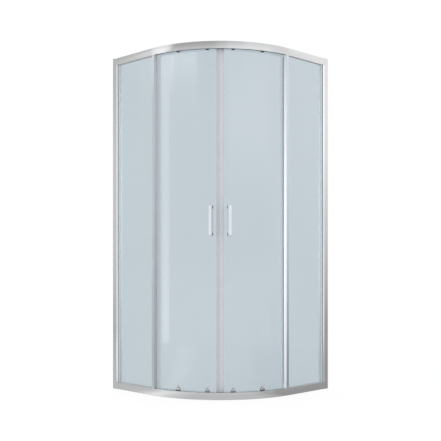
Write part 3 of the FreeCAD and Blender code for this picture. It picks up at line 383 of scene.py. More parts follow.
class SurfaceWiring(Wiring):
    """Adds the nodes of one material around its surface shader."""

    def __init__(self, material: bpy.types.Material) -> None:
        """Start with the surface shader of a new material."""
        super().__init__(material.node_tree)
        self.surface = material.node_tree.nodes["Principled BSDF"]

    def effect(self, effect: Effect, **values: object) -> bpy.types.NodeOutputs:
        """Outputs of a shared effect that is placed with its own values."""
        return self.add("Group", values, node_tree=EFFECTS.take(effect)).outputs

    def plain(self, **values: object) -> None:
        """Set sockets of the surface that are the same all over, with spaces written as underscores."""
        for name, content in values.items():
            self.surface.inputs[name.replace("_", " ")].default_value = content

    def paint(self, mask: bpy.types.NodeSocket, first: Colour, second: Colour) -> None:
        """Colour the surface with two colours, blended by a mask.

        Args:
            mask: share of the second colour.
            first: colour where the mask is 0.
            second: colour where the mask is 1.
        """
        # A Mix node has two inputs for each kind of data, and its colours are numbers 6 and 7
        node = self.add("Mix", {0: mask, 6: (*first, 1), 7: (*second, 1)}, data_type="RGBA")
        self.feed(self.surface.inputs["Base Color"], node.outputs[2])

    def dull(self, mask: bpy.types.NodeSocket, low: float, high: float) -> None:
        """Vary the roughness of the surface by a mask."""
        self.feed(self.surface.inputs["Roughness"], self.spread(mask, low, high))

    def bump(self, height: bpy.types.NodeSocket, strength: float, distance: float) -> None:
        """Raise the surface by a height, over a distance in metres."""
        node = self.add("Bump", {"Height": height, "Strength": strength, "Distance": distance})
        self.feed(self.surface.inputs["Normal"], node.outputs["Normal"])


def new_material(name: str) -> bpy.types.Material:
    """New material that is made of nodes.

    Args:
        name: name of the material.

    Returns:
        The material.
    """
    material = bpy.data.materials.new(name)
    material.use_nodes = True
    return material


# Finishes

class Flow(Enum):
    """Direction in which a drawn metal bar was pulled through its die."""

    UPRIGHT = "upright"
    ROUND_THE_RAIL = "round_the_rail"


@dataclass(frozen=True)
class Finish(ABC):
    """A surface finish that becomes one material.

    Attributes:
        name: name of the material.
        colour: main colour.
        second: colour in its lines, its clouds or its worn places.
    """

    name: str
    colour: Colour
    second: Colour

    def material(self) -> bpy.types.Material:
        """Material of this finish, built at its first use.

        Returns:
            The material.
        """
        made = bpy.data.materials.get(self.name)
        if made is None:
            made = new_material(self.name)
            self.wire(SurfaceWiring(made))
        return made

    @abstractmethod
    def wire(self, wiring: SurfaceWiring) -> None:
        """Add the nodes of the finish around its surface shader."""


@dataclass(frozen=True)
class DrawnAluminium(Finish):
    """Polished aluminium bar with the faint lines of its die.

    Attributes:
        colour: reflected colour.
        second: reflected colour in the deeper lines.
        flow: direction of the lines.
        polish: lowest and highest roughness.
    """

    colour: Colour = (0.56, 0.563, 0.57)
    second: Colour = (0.52, 0.523, 0.53)
    flow: Flow = Flow.UPRIGHT
    polish: Pair = (0.16, 0.24)

    def wire(self, wiring: SurfaceWiring) -> None:
        """Lines follow the bar, and a film of handling dulls it unevenly.

        Args:
            wiring: wiring of the material's nodes.
        """
        lines = wiring.effect(Effect.DRAWN_LINES, Section=self.section(wiring), Fineness=700.0)
        film = wiring.effect(Effect.HANDLING_FILM, Scale=9.0)
        wiring.plain(Metallic=1.0)
        wiring.paint(lines["Tone"], self.colour, self.second)
        wiring.dull(film["Film"], *self.polish)
        wiring.bump(lines["Height"], strength=0.12, distance=0.00004)

    def section(self, wiring: Wiring) -> bpy.types.NodeSocket:
        """Coordinates across the bar, the same all along it.

        Args:
            wiring: wiring of the material's nodes.

        Returns:
            The coordinates.
        """
        parts = wiring.add("SeparateXYZ", {0: wiring.place()}).outputs
        first, second = parts["X"], parts["Y"]
        if self.flow is Flow.ROUND_THE_RAIL:
            right = wiring.calculate("SUBTRACT", parts["X"], PLAN.centre.x)
            front = wiring.calculate("SUBTRACT", PLAN.centre.y, parts["Y"])
            right, front = [wiring.calculate("MAXIMUM", reach, 0.0) for reach in (right, front)]
            corner = wiring.add("CombineXYZ", {"X": right, "Y": front}).outputs[0]
            first = wiring.add("VectorMath", {0: corner}, operation="LENGTH").outputs["Value"]
            second = parts["Z"]
        return wiring.add("CombineXYZ", {"X": first, "Y": second}).outputs[0]


@dataclass(frozen=True)
class SatinGlass(Finish):
    """Pale blue-grey glass, satin inside its body and glossy outside.

    Attributes:
        gloss: weight of the clear gloss outside.
        index: refraction, which also sets how much the satin reflects.
        satin: lowest and highest roughness.
    """

    gloss: float
    index: float
    satin: Pair = (0.15, 0.19)

    def wire(self, wiring: SurfaceWiring) -> None:
        """Faint clouds in the satin below a clear gloss.

        Args:
            wiring: wiring of the material's nodes.
        """
        grain = wiring.effect(Effect.MOULD_GRAIN, Scale=60.0)
        film = wiring.effect(Effect.HANDLING_FILM, Scale=3.0)
        wiring.plain(Transmission_Weight=1.0, IOR=self.index, Coat_Weight=self.gloss, Coat_Roughness=0.03)
        wiring.paint(film["Film"], self.colour, self.second)
        wiring.dull(grain["Tone"], *self.satin)


@dataclass(frozen=True)
class ClearPlastic(Finish):
    """Translucent soft plastic of the door seals.

    Attributes:
        clarity: share of light that passes through.
    """

    clarity: float = 0.12

    def wire(self, wiring: SurfaceWiring) -> None:
        """Extruded plastic with a slightly uneven skin.

        Args:
            wiring: wiring of the material's nodes.
        """
        grain = wiring.effect(Effect.MOULD_GRAIN, Scale=900.0)
        wiring.plain(Transmission_Weight=self.clarity, IOR=1.46, Roughness=0.3)
        wiring.paint(grain["Tone"], self.colour, self.second)
        wiring.bump(grain["Height"], strength=0.1, distance=0.0001)


@dataclass(frozen=True)
class PolishedChrome(Finish):
    """Bright plating with a faint film of fingerprints.

    Attributes:
        colour: reflected colour.
        second: reflected colour under the film.
        polish: lowest and highest roughness.
    """

    colour: Colour = (0.80, 0.81, 0.825)
    second: Colour = (0.74, 0.75, 0.77)
    polish: Pair = (0.05, 0.12)

    def wire(self, wiring: SurfaceWiring) -> None:
        """Film varies the gloss and the tone.

        Args:
            wiring: wiring of the material's nodes.
        """
        film = wiring.effect(Effect.HANDLING_FILM, Scale=26.0)
        wiring.plain(Metallic=1.0)
        wiring.paint(film["Film"], self.colour, self.second)
        wiring.dull(film["Film"], *self.polish)


@dataclass(frozen=True)
class TurnedSteel(Finish):
    """Machined steel with fine tool marks.

    Attributes:
        colour: reflected colour.
        second: reflected colour in the tool marks.
        polish: lowest and highest roughness.
    """

    colour: Colour = (0.56, 0.57, 0.58)
    second: Colour = (0.44, 0.45, 0.46)
    polish: Pair = (0.22, 0.38)

    def wire(self, wiring: SurfaceWiring) -> None:
        """Tool marks mottle the tone, the gloss and the height.

        Args:
            wiring: wiring of the material's nodes.
        """
        marks = wiring.effect(Effect.DRAWN_LINES, Section=wiring.place(), Fineness=1500.0)
        wiring.plain(Metallic=1.0)
        wiring.paint(marks["Tone"], self.colour, self.second)
        wiring.dull(marks["Tone"], *self.polish)
        wiring.bump(marks["Height"], strength=0.15, distance=0.00005)


@dataclass(frozen=True)
class Moulding(Finish):
    """Moulded plastic or rubber with a fine grain.

    Attributes:
        gloss: lowest and highest roughness.
        relief: height of the grain in metres.
    """

    gloss: Pair
    relief: float = 0.00008

    def wire(self, wiring: SurfaceWiring) -> None:
        """Grain lifts the surface, and its clouds vary colour and gloss.

        Args:
            wiring: wiring of the material's nodes.
        """
        grain = wiring.effect(Effect.MOULD_GRAIN, Scale=2200.0)
        wiring.paint(grain["Tone"], self.colour, self.second)
        wiring.dull(grain["Tone"], *self.gloss)
        wiring.bump(grain["Height"], strength=0.3, distance=self.relief)


RAIL_METAL = DrawnAluminium("polished_rail", flow=Flow.ROUND_THE_RAIL)
POST_METAL = DrawnAluminium("polished_post")
STRIKE_METAL = DrawnAluminium("polished_strike", (0.515, 0.555, 0.59), (0.48, 0.52, 0.555))
DOOR_GLASS = SatinGlass("satin_door_glass", (0.518, 0.592, 0.642), (0.512, 0.586, 0.636),
                        gloss=1.0, index=1.5)
PANEL_GLASS = SatinGlass("satin_panel_glass", (0.536, 0.608, 0.655), (0.530, 0.602, 0.649),
                         gloss=0.2, index=1.35)
# The two seals are one plastic in a shaded and a lit copy: the left is painted darker (painted shade), the right
# lighter (painted light).
CLEAR_SEALS = {
    Side.LEFT: ClearPlastic("milky_seal_left", (0.71, 0.735, 0.79), (0.68, 0.705, 0.76)),
    Side.RIGHT: ClearPlastic("milky_seal_right", (0.78, 0.815, 0.865), (0.75, 0.785, 0.835)),
}
CHROME = PolishedChrome("bright_chrome")
STEEL = TurnedSteel("turned_steel")
# A darkened copy of the chrome for the bottom housings: painted shade on the domes.
DOME_SHADED_CHROME = PolishedChrome("dome_chrome", (0.43, 0.44, 0.455), (0.39, 0.40, 0.415))
BAR_CHROME = PolishedChrome("bar_chrome", (0.74, 0.795, 0.83), (0.70, 0.755, 0.79))
COVER_TRIM = PolishedChrome("cover_trim", (0.67, 0.685, 0.71), (0.63, 0.645, 0.67), (0.12, 0.2))
# A lighter copy of the cover trim's chrome on the sloped edging: painted light along that slope.
EDGING_PAINTED_LIGHT = PolishedChrome("bright_edging", (0.83, 0.85, 0.875), (0.79, 0.81, 0.835), (0.12, 0.2))
# Near-black legs: painted shade where the legs' sides are in shadow.
LEG_SHADE_PAINT = Moulding("leg_plastic", (0.03, 0.031, 0.034), (0.05, 0.051, 0.054), (0.7, 0.85), 0.00005)
# Grey strip on the handle bar: painted shade on the bar's seam side.
SEAM_SHADE_PAINT = Moulding("grip_vinyl", (0.42, 0.435, 0.45), (0.38, 0.395, 0.41), (0.4, 0.55), 0.00004)
# Paler than the gasket's own colour, which paints out the shade in its recess: painted light.
GASKET = Moulding("pale_gasket", (0.70, 0.72, 0.735), (0.65, 0.67, 0.685), (0.5, 0.66))
# Dark strip behind the right strike post: painted shade for the shadow line at the door's edge.
LIP_SHADE_PAINT = Moulding("lip_rubber", (0.26, 0.263, 0.267), (0.31, 0.313, 0.317), (0.5, 0.66))
JAMB_VINYL = Moulding("jamb_vinyl", (0.49, 0.525, 0.55), (0.46, 0.495, 0.52), (0.3, 0.42), 0.00002)
BEAD_VINYL = Moulding("bead_vinyl", (0.77, 0.84, 0.88), (0.73, 0.80, 0.84), (0.3, 0.42), 0.00002)
PALE_VINYL = Moulding("pale_vinyl", (0.80, 0.805, 0.81), (0.76, 0.765, 0.77), (0.3, 0.42), 0.00002)
STOP_RUBBER = Moulding("stop_rubber", (0.025, 0.025, 0.027), (0.045, 0.045, 0.047), (0.6, 0.8))
ROLLER_PLASTIC = Moulding("roller_plastic", (0.035, 0.036, 0.039), (0.055, 0.056, 0.06), (0.3, 0.42),
                          0.00004)
# Lighter than the plastic's own colour, so that the colour paints out the shade the sliders sit in: painted light.
SLIDER_PLASTIC = Moulding("slider_plastic", (0.71, 0.76, 0.785), (0.65, 0.70, 0.725), (0.3, 0.42), 0.00003)
WHEEL_PLASTIC = Moulding("wheel_plastic", (0.72, 0.72, 0.70), (0.62, 0.62, 0.60), (0.35, 0.5), 0.00004)
COVER_PLASTIC = Moulding("cover_plastic", (0.66, 0.67, 0.68), (0.60, 0.61, 0.62), (0.22, 0.34), 0.00003)
MAGNET_CORE = Moulding("magnet_core", (0.26, 0.255, 0.26), (0.30, 0.295, 0.30), (0.6, 0.75))
# The pile is painted paler to lighten the shaded gap beside the strike post: painted light.
PILE_YARN = Moulding("pile_yarn", (0.50, 0.51, 0.52), (0.58, 0.59, 0.60), (0.8, 0.95), 0.0001)


# Mesh tools

def both_ways(half: float) -> Pair:
    """Values from minus a half to that half."""
    return -half, half


def rectangle(first: Pair, second: Pair) -> Profile:
    """Corners between two values on each of two axes."""
    return [(first[0], second[0]), (first[1], second[0]), (first[1], second[1]), (first[0], second[1])]


def softened(points: Profile, radius: float, closed: bool = False, steps: int = 3) -> Profile:
    """Round the corners of an outline.

    Args:
        points: corners of the outline.
        radius: length of each side that a rounding takes, where the side has room for it.
        closed: whether the last corner joins the first.
        steps: number of edges in a rounding.

    Returns:
        The outline with a curve at each corner.
    """
    most_of_side = 0.45
    places = [Vector(point) for point in points]
    rounded = []
    for number, here in enumerate(places):
        if not closed and number in (0, len(places) - 1):
            rounded.append(tuple(here))
            continue
        sides = [places[number - 1] - here, places[(number + 1) % len(places)] - here]
        start, end = [here + side.normalized() * min(radius, side.length * most_of_side) for side in sides]
        for step in range(steps + 1):
            share = step / steps
            rounded.append(tuple(start.lerp(here, share).lerp(here.lerp(end, share), share)))
    return rounded


def dome(rim: Pair, crown: float, steps: int = 10) -> Profile:
    """Quarter of an ellipse that ends on the axis.

    Args:
        rim: depth and radius of its start.
        crown: depth of its end.
        steps: number of edges.

    Returns:
        The curve.
    """
    depth, radius = rim
    turns = [math.pi / 2 * step / steps for step in range(steps)]
    curve = [(depth + (crown - depth) * math.sin(turn), radius * math.cos(turn)) for turn in turns]
    return [*curve, (crown, 0.0)]


def settle(shape: bmesh.types.BMesh) -> bpy.types.Mesh:
    """Turn all faces outward and store the shape as a mesh.

    Args:
        shape: the shape, which is used up.

    Returns:
        The mesh.
    """
    bmesh.ops.recalc_face_normals(shape, faces=shape.faces)
    mesh = bpy.data.meshes.new("piece")
    shape.to_mesh(mesh)
    shape.free()
    return mesh


def bridge(shape: bmesh.types.BMesh, near: Ring, far: Ring) -> None:
    """Join two rings of corners by faces, where one ring may be a single point.

    Args:
        shape: shape that gets the faces.
        near: corners of the first ring.
        far: corners of the second ring.
    """
    count = max(len(near), len(far))
    for step in range(count):
        beside = (step + 1) % count
        corners = [near[step % len(near)], near[beside % len(near)],
                   far[beside % len(far)], far[step % len(far)]]
        shape.faces.new(list(dict.fromkeys(corners)))


def close_up(shape: bmesh.types.BMesh, ends: list[Ring]) -> None:
    """Close the solid between two rings of corners.

    Args:
        shape: shape that gets the faces.
        ends: corners of the two rings.
    """
    for end in ends:
        shape.faces.new(end)
    bridge(shape, *ends)


def turned(profile: Profile, closed: bool = False, steps: int = 48) -> bpy.types.Mesh:
    """Turn a profile about the first axis.

    Args:
        profile: pairs of depth along the axis and radius.
        closed: whether the last pair joins the first.
        steps: number of sides.

    Returns:
        The mesh.
    """
    shape = bmesh.new()
    turns = [2 * math.pi * step / steps for step in range(steps)]
    rings = []
    for depth, radius in profile:
        ring = [(depth, radius * math.cos(turn), radius * math.sin(turn)) for turn in turns]
        rings.append([shape.verts.new(place) for place in (ring if radius else [(depth, 0, 0)])])
    for near, far in zip(rings, rings[1:] + rings[:1] if closed else rings[1:]):
        bridge(shape, near, far)
    return settle(shape)


def rod(start: float, end: float, radius: float, steps: int) -> bpy.types.Mesh:
    """Plain rod along the first axis."""
    return turned([(start, 0.0), (start, radius), (end, radius), (end, 0.0)], steps=steps)


def prism(section: Profile, low: float, high: float) -> bpy.types.Mesh:
    """Raise a closed section along the third axis.

    Args:
        section: pairs along the first and second axis.
        low: height of the lower end.
        high: height of the upper end.

    Returns:
        The mesh.
    """
    shape = bmesh.new()
    close_up(shape, [[shape.verts.new((*point, level)) for point in section] for level in (low, high)])
    return settle(shape)


def block(first: Pair, second: Pair, third: Pair) -> bpy.types.Mesh:
    """Block between two values on each axis."""
    return prism(rectangle(first, second), *third)


def gather(copies: Iterable[tuple[bpy.types.Mesh, Matrix]]) -> bpy.types.Mesh:
    """Join copies of meshes, each at its own place.

    Args:
        copies: meshes with their places.

    Returns:
        The joined mesh.
    """
    shape = bmesh.new()
    for mesh, place in copies:
        known = len(shape.verts)
        shape.from_mesh(mesh)
        shape.verts.ensure_lookup_table()
        bmesh.ops.transform(shape, matrix=place, verts=shape.verts[known:])
    joined = bpy.data.meshes.new("piece")
    shape.to_mesh(joined)
    shape.free()
    return joined


def show(name: str, data: bpy.types.ID) -> bpy.types.Object:
    """Put a mesh, a lamp or a camera into the scene.

    Args:
        name: name of the object.
        data: what the object shows.

    Returns:
        The object.
    """
    item = bpy.data.objects.new(name, data)
    bpy.context.scene.collection.objects.link(item)
    return item


def carve(body: bpy.types.Mesh, *tools: bpy.types.Mesh) -> bpy.types.Mesh:
    """Cut tools out of a body.

    Args:
        body: mesh that is cut.
        tools: meshes that are taken away.

    Returns:
        The rest as a mesh.
    """
    items = [show("carving", mesh) for mesh in (body, *tools)]
    for tool in items[1:]:
        cut = items[0].modifiers.new("cut", "BOOLEAN")
        cut.operation = "DIFFERENCE"
        cut.solver = "EXACT"
        cut.object = tool
    graph = bpy.context.evaluated_depsgraph_get()
    carved = bpy.data.meshes.new_from_object(items[0].evaluated_get(graph))
    for item in items:
        bpy.data.objects.remove(item)
    return carved


# Pieces

def body_of(node: str) -> str:
    """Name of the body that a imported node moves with."""
    bodies = frame["record"]["behaviour"]["bodies"]
    return next(body for body, nodes in bodies.items() if node in nodes)


def add_piece(name: str, mesh: bpy.types.Mesh, body: str, finish: Finish) -> bpy.types.Object:
    """Add a mesh that moves with a body.

    Args:
        name: name of the piece.
        mesh: its mesh, where it belongs at rest.
        body: body that it moves with.
        finish: its finish.

    Returns:
        The piece.
    """
    mesh.name = name
    mesh.shade_smooth()
    mesh.set_sharp_from_angle(angle=SMOOTH_ANGLE)
    mesh.materials.clear()
    mesh.materials.append(finish.material())
    piece = show(name, mesh)
    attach(piece, body)
    LOG.info("%s built on %s", name, body)
    return piece


def stand_in(name: str, mesh: bpy.types.Mesh, node: str, finish: Finish) -> bpy.types.Object:
    """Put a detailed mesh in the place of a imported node.

    Args:
        name: name of the piece.
        mesh: its mesh, where the node is.
        node: node that it stands for and moves with.
        finish: its finish.

    Returns:
        The piece.
    """
    piece = add_piece(name, mesh, body_of(node), finish)
    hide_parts(node)
    return piece


def round_edges(item: bpy.types.Object, width: float, segments: int, sharpness: float) -> None:
    """Round the sharp edges of an object.

    Args:
        item: the object.
        width: width of the rounding in metres.
        segments: number of faces in a rounding.
        sharpness: least angle of a rounded edge in degrees.
    """
    rounding = item.modifiers.new("soft_edges", "BEVEL")
    rounding.width = width
    rounding.segments = segments
    rounding.limit_method = "ANGLE"
    rounding.angle_limit = math.radians(sharpness)
    rounding.harden_normals = True


def dress(node: str, finish: Finish, edge: float = 0.0) -> None:
    """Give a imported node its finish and, where an edge is stated, softened edges.

    Args:
        node: name of the node.
        finish: its finish.
        edge: width of the edge rounding in metres.
    """
    item = frame["nodes"][node]
    for holder in item.material_slots:
        holder.material = finish.material()
    if edge:
        round_edges(item, edge, segments=2, sharpness=50)
    LOG.info("%s dressed with %s", node, finish.name)


# Sub-assemblies

@dataclass
class FixedFrame:
    """Rails with the screws that hold them, and the stops for the doors.

    Attributes:
        edge: rounding of the rail edges.
        screw_along: corner screws from the wall.
        screw_depths: corner screws behind the rail face.
        screw_length: length of a corner screw.
        head_radius: radius of its countersunk head.
        shank_radius: radius of its shank.
        head_depth: height of its head.
        recess: length, width and depth of the arms of the cross recess.
    """

    edge: float = 0.4 * MM
    screw_along: float = 13 * MM
    screw_depths: Pair = (6.3 * MM, 33 * MM)
    screw_length: float = 20 * MM
    head_radius: float = 4 * MM
    shank_radius: float = 2 * MM
    head_depth: float = 2 * MM
    recess: tuple[float, float, float] = (4.6 * MM, 1.0 * MM, 1.3 * MM)

    def build(self) -> None:
        """Dress the rails and build their screws."""
        for rail in ("top_rail", "bottom_rail"):
            dress(rail, RAIL_METAL, self.edge)
        stand_in("crossed_corner_screws", self.corner_screws(), "corner_screws", STEEL)
        dress("post_screws", STEEL)
        dress("post_screw_covers", COVER_PLASTIC)
        dress("door_stops", STOP_RUBBER, self.edge)

    def screw(self) -> bpy.types.Mesh:
        """Countersunk screw with a cross recess, its head at the origin.

        Returns:
            The mesh.
        """
        blunt = self.shank_radius / 2
        profile = [(0.0, 0.0), (0.0, self.head_radius), (self.head_depth, self.shank_radius),
                   (self.screw_length - blunt, self.shank_radius), (self.screw_length, blunt),
                   (self.screw_length, 0.0)]
        length, width, depth = self.recess
        arms = [block((-depth / 2, depth), both_ways(reach / 2), both_ways(side / 2))
                for reach, side in ((length, width), (width, length))]
        return carve(turned(profile, steps=32), *arms)

    def corner_screws(self) -> bpy.types.Mesh:
        """All corner screws, flush with the outer edges of the rails.

        Returns:
            The screws as one mesh.
        """
        screw = self.screw()
        copies = []
        for side in Side:
            for level, axis in ((0.0, UP), (PLAN.height, -UP)):
                for depth in self.screw_depths:
                    origin = PLAN.wall_place(side, self.screw_along, level) @ Vector((depth, 0, 0))
                    copies.append((screw, along_axis(origin, axis)))
        return gather(copies)


@dataclass
class FixedPanel:
    """Flat pane with its wall channel, posts, gasket and pile strip.

    Attributes:
        side: half of the cabin.
        edge: rounding of the post edges.
        pile_width: width of the pile on its backing.
        backing: height of the backing below the pile.
        tuft_pitch: distance from one tuft to the next.
        tuft_rows: number of tufts across the pile.
        tuft_size: half width of a tuft across and along the strip.
        tuft_spread: most that a tip leans to any side.
        tuft_lengths: shortest and longest tuft, as shares of the room above the backing.
        tuft_root: depth at which a tuft starts, as a share of the backing.
        tuft_taper: width of a tip, as a share of its root.
        row_spacing: distance between the rows, as a share of what the pile's width allows.
        tuft_seed: seed of the random tufts.
        strip_round: rounding of the strips on the posts.
        strip_gap: room left at the ends of a strip.
        trim: thickness of the strips on the posts.
        lip_reach: reach of the rubber lip behind the strike post.
        edging_width: width of the sloped edging beside the pane on the wall post.
        cover_step: face of the cover on the wall post behind the wall channel's face.
        reveal: width of the gasket that stands out of the wall post.
        bead_width: width of the glazing bead beside that gasket.
        bead_foot: near edge of the bead behind the gasket's face.
        bead_edge: far edge of the bead before the pane.
        infill_widths: width of the infill at its back, and past the reveal at its front.
        wedge_width: width of the wedge between the wall channel and the rail face.
        wedge_depth: depth of its back behind the rail face.
    """

    side: Side
    edge: float = 0.4 * MM
    pile_width: float = 3 * MM
    backing: float = 2.2 * MM
    tuft_pitch: float = 2.2 * MM
    tuft_rows: int = 3
    tuft_size: Pair = (0.48 * MM, 0.9 * MM)
    tuft_spread: float = 0.4 * MM
    tuft_lengths: Pair = (0.93, 1.0)
    tuft_root: float = 0.8
    tuft_taper: float = 0.55
    row_spacing: float = 0.9
    tuft_seed: int = 41
    strip_round: float = 0.4 * MM
    strip_gap: float = 0.5 * MM
    trim: float = 1.2 * MM
    # lip_reach: reach of the dark strip behind the right strike post, which paints the shadow line there.
    lip_reach: float = 6 * MM
    edging_width: float = 5 * MM
    cover_step: float = 0.2 * MM
    reveal: float = 3 * MM
    bead_width: float = 7 * MM
    bead_foot: float = 0.3 * MM
    bead_edge: float = 0.5 * MM
    infill_widths: Pair = (0.4 * MM, 1 * MM)
    wedge_width: float = 7 * MM
    wedge_depth: float = 1.4 * MM

    def build(self) -> None:
        """Dress the panel and build its pile strip and trim."""
        word = self.side.word
        for piece in ("wall_channel", "wall_post"):
            dress(f"{piece}_{word}", POST_METAL, self.edge)
        dress(f"strike_post_{word}", STRIKE_METAL, self.edge)
        dress(f"fixed_glass_{word}", PANEL_GLASS)
        dress(f"glazing_gasket_{word}", GASKET)
        stand_in(f"pile_strip_{word}", self.pile_strip(), f"strike_seal_{word}", PILE_YARN)
        self.strike_trim()
        self.wall_trim()

    def room(self, node: str) -> tuple[list[float], list[float]]:
        """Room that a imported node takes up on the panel.

        Args:
            node: name of the node.

        Returns:
            Its sides from the wall, and its front and back behind the rail face.
        """
        place = PLAN.wall_place(self.side).inverted()
        corners = [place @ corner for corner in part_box(node)]
        sides = sorted(corner.y * self.side.value for corner in corners)
        return sides, sorted(corner.x for corner in corners)

    def strike_trim(self) -> None:
        """Facing on the door side of the strike post and, on the right, a dark strip behind it that paints the
        shadow line there.
        """
        word = self.side.word
        (_, side), (front, back) = self.room(f"strike_post_{word}")
        facing = rectangle((front, back), (side, side + self.trim))
        self.strip("jamb_facing", facing, between_rails(), "cover", JAMB_VINYL)
        # The dark strip on the right paints the shadow line between the post and the door.
        if self.side is Side.RIGHT:
            lip = rectangle((back, back + self.lip_reach), (side - self.trim, side))
            self.strip("jamb_lip", lip, levels(f"strike_seal_{word}"), "gasket", LIP_SHADE_PAINT)

    def wall_trim(self) -> None:
        """Bead before the pane, infill behind it, cover and edging on the post, wedges at the rail ends."""
        word = self.side.word
        height = levels(f"strike_post_{word}")
        (_, side), (front, back) = self.room(f"wall_post_{word}")
        (_, edge), (channel_face, _) = self.room(f"wall_channel_{word}")
        lip, start = self.room(f"glazing_gasket_{word}")[1]
        pane = self.room(f"fixed_glass_{word}")[1][0]
        near = side + self.reveal
        far = near + self.bead_width
        bead = [(lip + self.bead_foot, near), (pane, near), (pane, far), (pane - self.bead_edge, far)]
        self.strip("glazing_bead", bead, height, "cover", BEAD_VINYL)
        back_width, front_width = self.infill_widths
        infill = [(start, side), (back, side), (back, side + back_width), (start, near + front_width)]
        self.strip("post_infill", infill, height, "cover", PALE_VINYL)
        face = channel_face + self.cover_step
        bend = side - self.edging_width
        cover = rectangle((front, face), (edge, bend))
        self.strip("post_cover", cover, between_rails(), "chrome", COVER_TRIM)
        # The edging is a lighter copy of the cover's chrome, painting the light along the slope.
        edging = [(front, bend), (face, bend), (front - self.trim, side), (front, side)]
        self.strip("post_edging", edging, between_rails(), "chrome", EDGING_PAINTED_LIGHT)
        wedge = [(self.wedge_depth, edge), (face, edge), (self.wedge_depth, edge + self.wedge_width)]
        for rail in ("bottom_rail", "top_rail"):
            self.strip(f"{rail}_wedge", wedge, levels(rail), "frame_metal", POST_METAL)

    def strip(self, name: str, section: Profile, height: Pair, slot: str, finish: Finish) -> None:
        """Add a rounded upright strip to the panel.

        Args:
            name: first words of its name.
            section: depths behind the rail face with distances from the wall.
            height: levels of the room for its foot and head.
            slot: not used.
            finish: its finish.
        """
        low, high = height
        corners = [(depth, along * self.side.value) for depth, along in section]
        outline = softened(corners, self.strip_round, closed=True)
        strip = prism(outline, low + self.strip_gap, high - self.strip_gap)
        mesh = gather([(strip, PLAN.wall_place(self.side))])
        add_piece(f"{name}_{self.side.word}", mesh, "frame", finish)

    def pile_strip(self) -> bpy.types.Mesh:
        """Backing with rows of tufts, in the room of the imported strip.

        Returns:
            The strip as one mesh.
        """
        low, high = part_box(f"strike_seal_{self.side.word}")
        size = high - low
        width, depth = sorted((size.x, size.y))
        inward = PLAN.wall_place(self.side).col[0].to_3d()
        place = place_matrix(inward, (low + high) / 2 - inward * (depth / 2) - UP * (size.z / 2))
        section = rectangle((0, self.backing), both_ways(width / 2))
        backing = prism(softened(section, self.strip_round, closed=True), 0.0, size.z)
        return gather([(backing, place), (self.tufts(depth, size.z), place)])

    def tufts(self, reach: float, height: float) -> bpy.types.Mesh:
        """Rows of tapered tufts from the backing to the tip of the pile.

        Args:
            reach: distance from the back of the strip to its tip.
            height: length of the strip.

        Returns:
            The tufts as one mesh.
        """
        dice = random.Random(self.tuft_seed + self.side.value)
        shape = bmesh.new()
        half_across, half_along = self.tuft_size
        outline = rectangle(both_ways(half_across), both_ways(half_along))
        corners = [Vector((0, *corner)) for corner in outline]
        room = self.pile_width / 2 - half_across
        for number in range(int(height / self.tuft_pitch)):
            level = (number + 0.5) * self.tuft_pitch
            for row in range(self.tuft_rows):
                across = room * (2 * row / (self.tuft_rows - 1) - 1) * self.row_spacing
                tip = self.backing + (reach - self.backing) * dice.uniform(*self.tuft_lengths)
                lean = [dice.uniform(-self.tuft_spread, self.tuft_spread) for _ in range(2)]
                ends = [(Vector((self.backing * self.tuft_root, across, level)), 1.0),
                        (Vector((tip, across + lean[0], level + lean[1])), self.tuft_taper)]
                close_up(shape, [[shape.verts.new(spot + corner * share) for corner in corners]
                                 for spot, share in ends])
        return settle(shape)


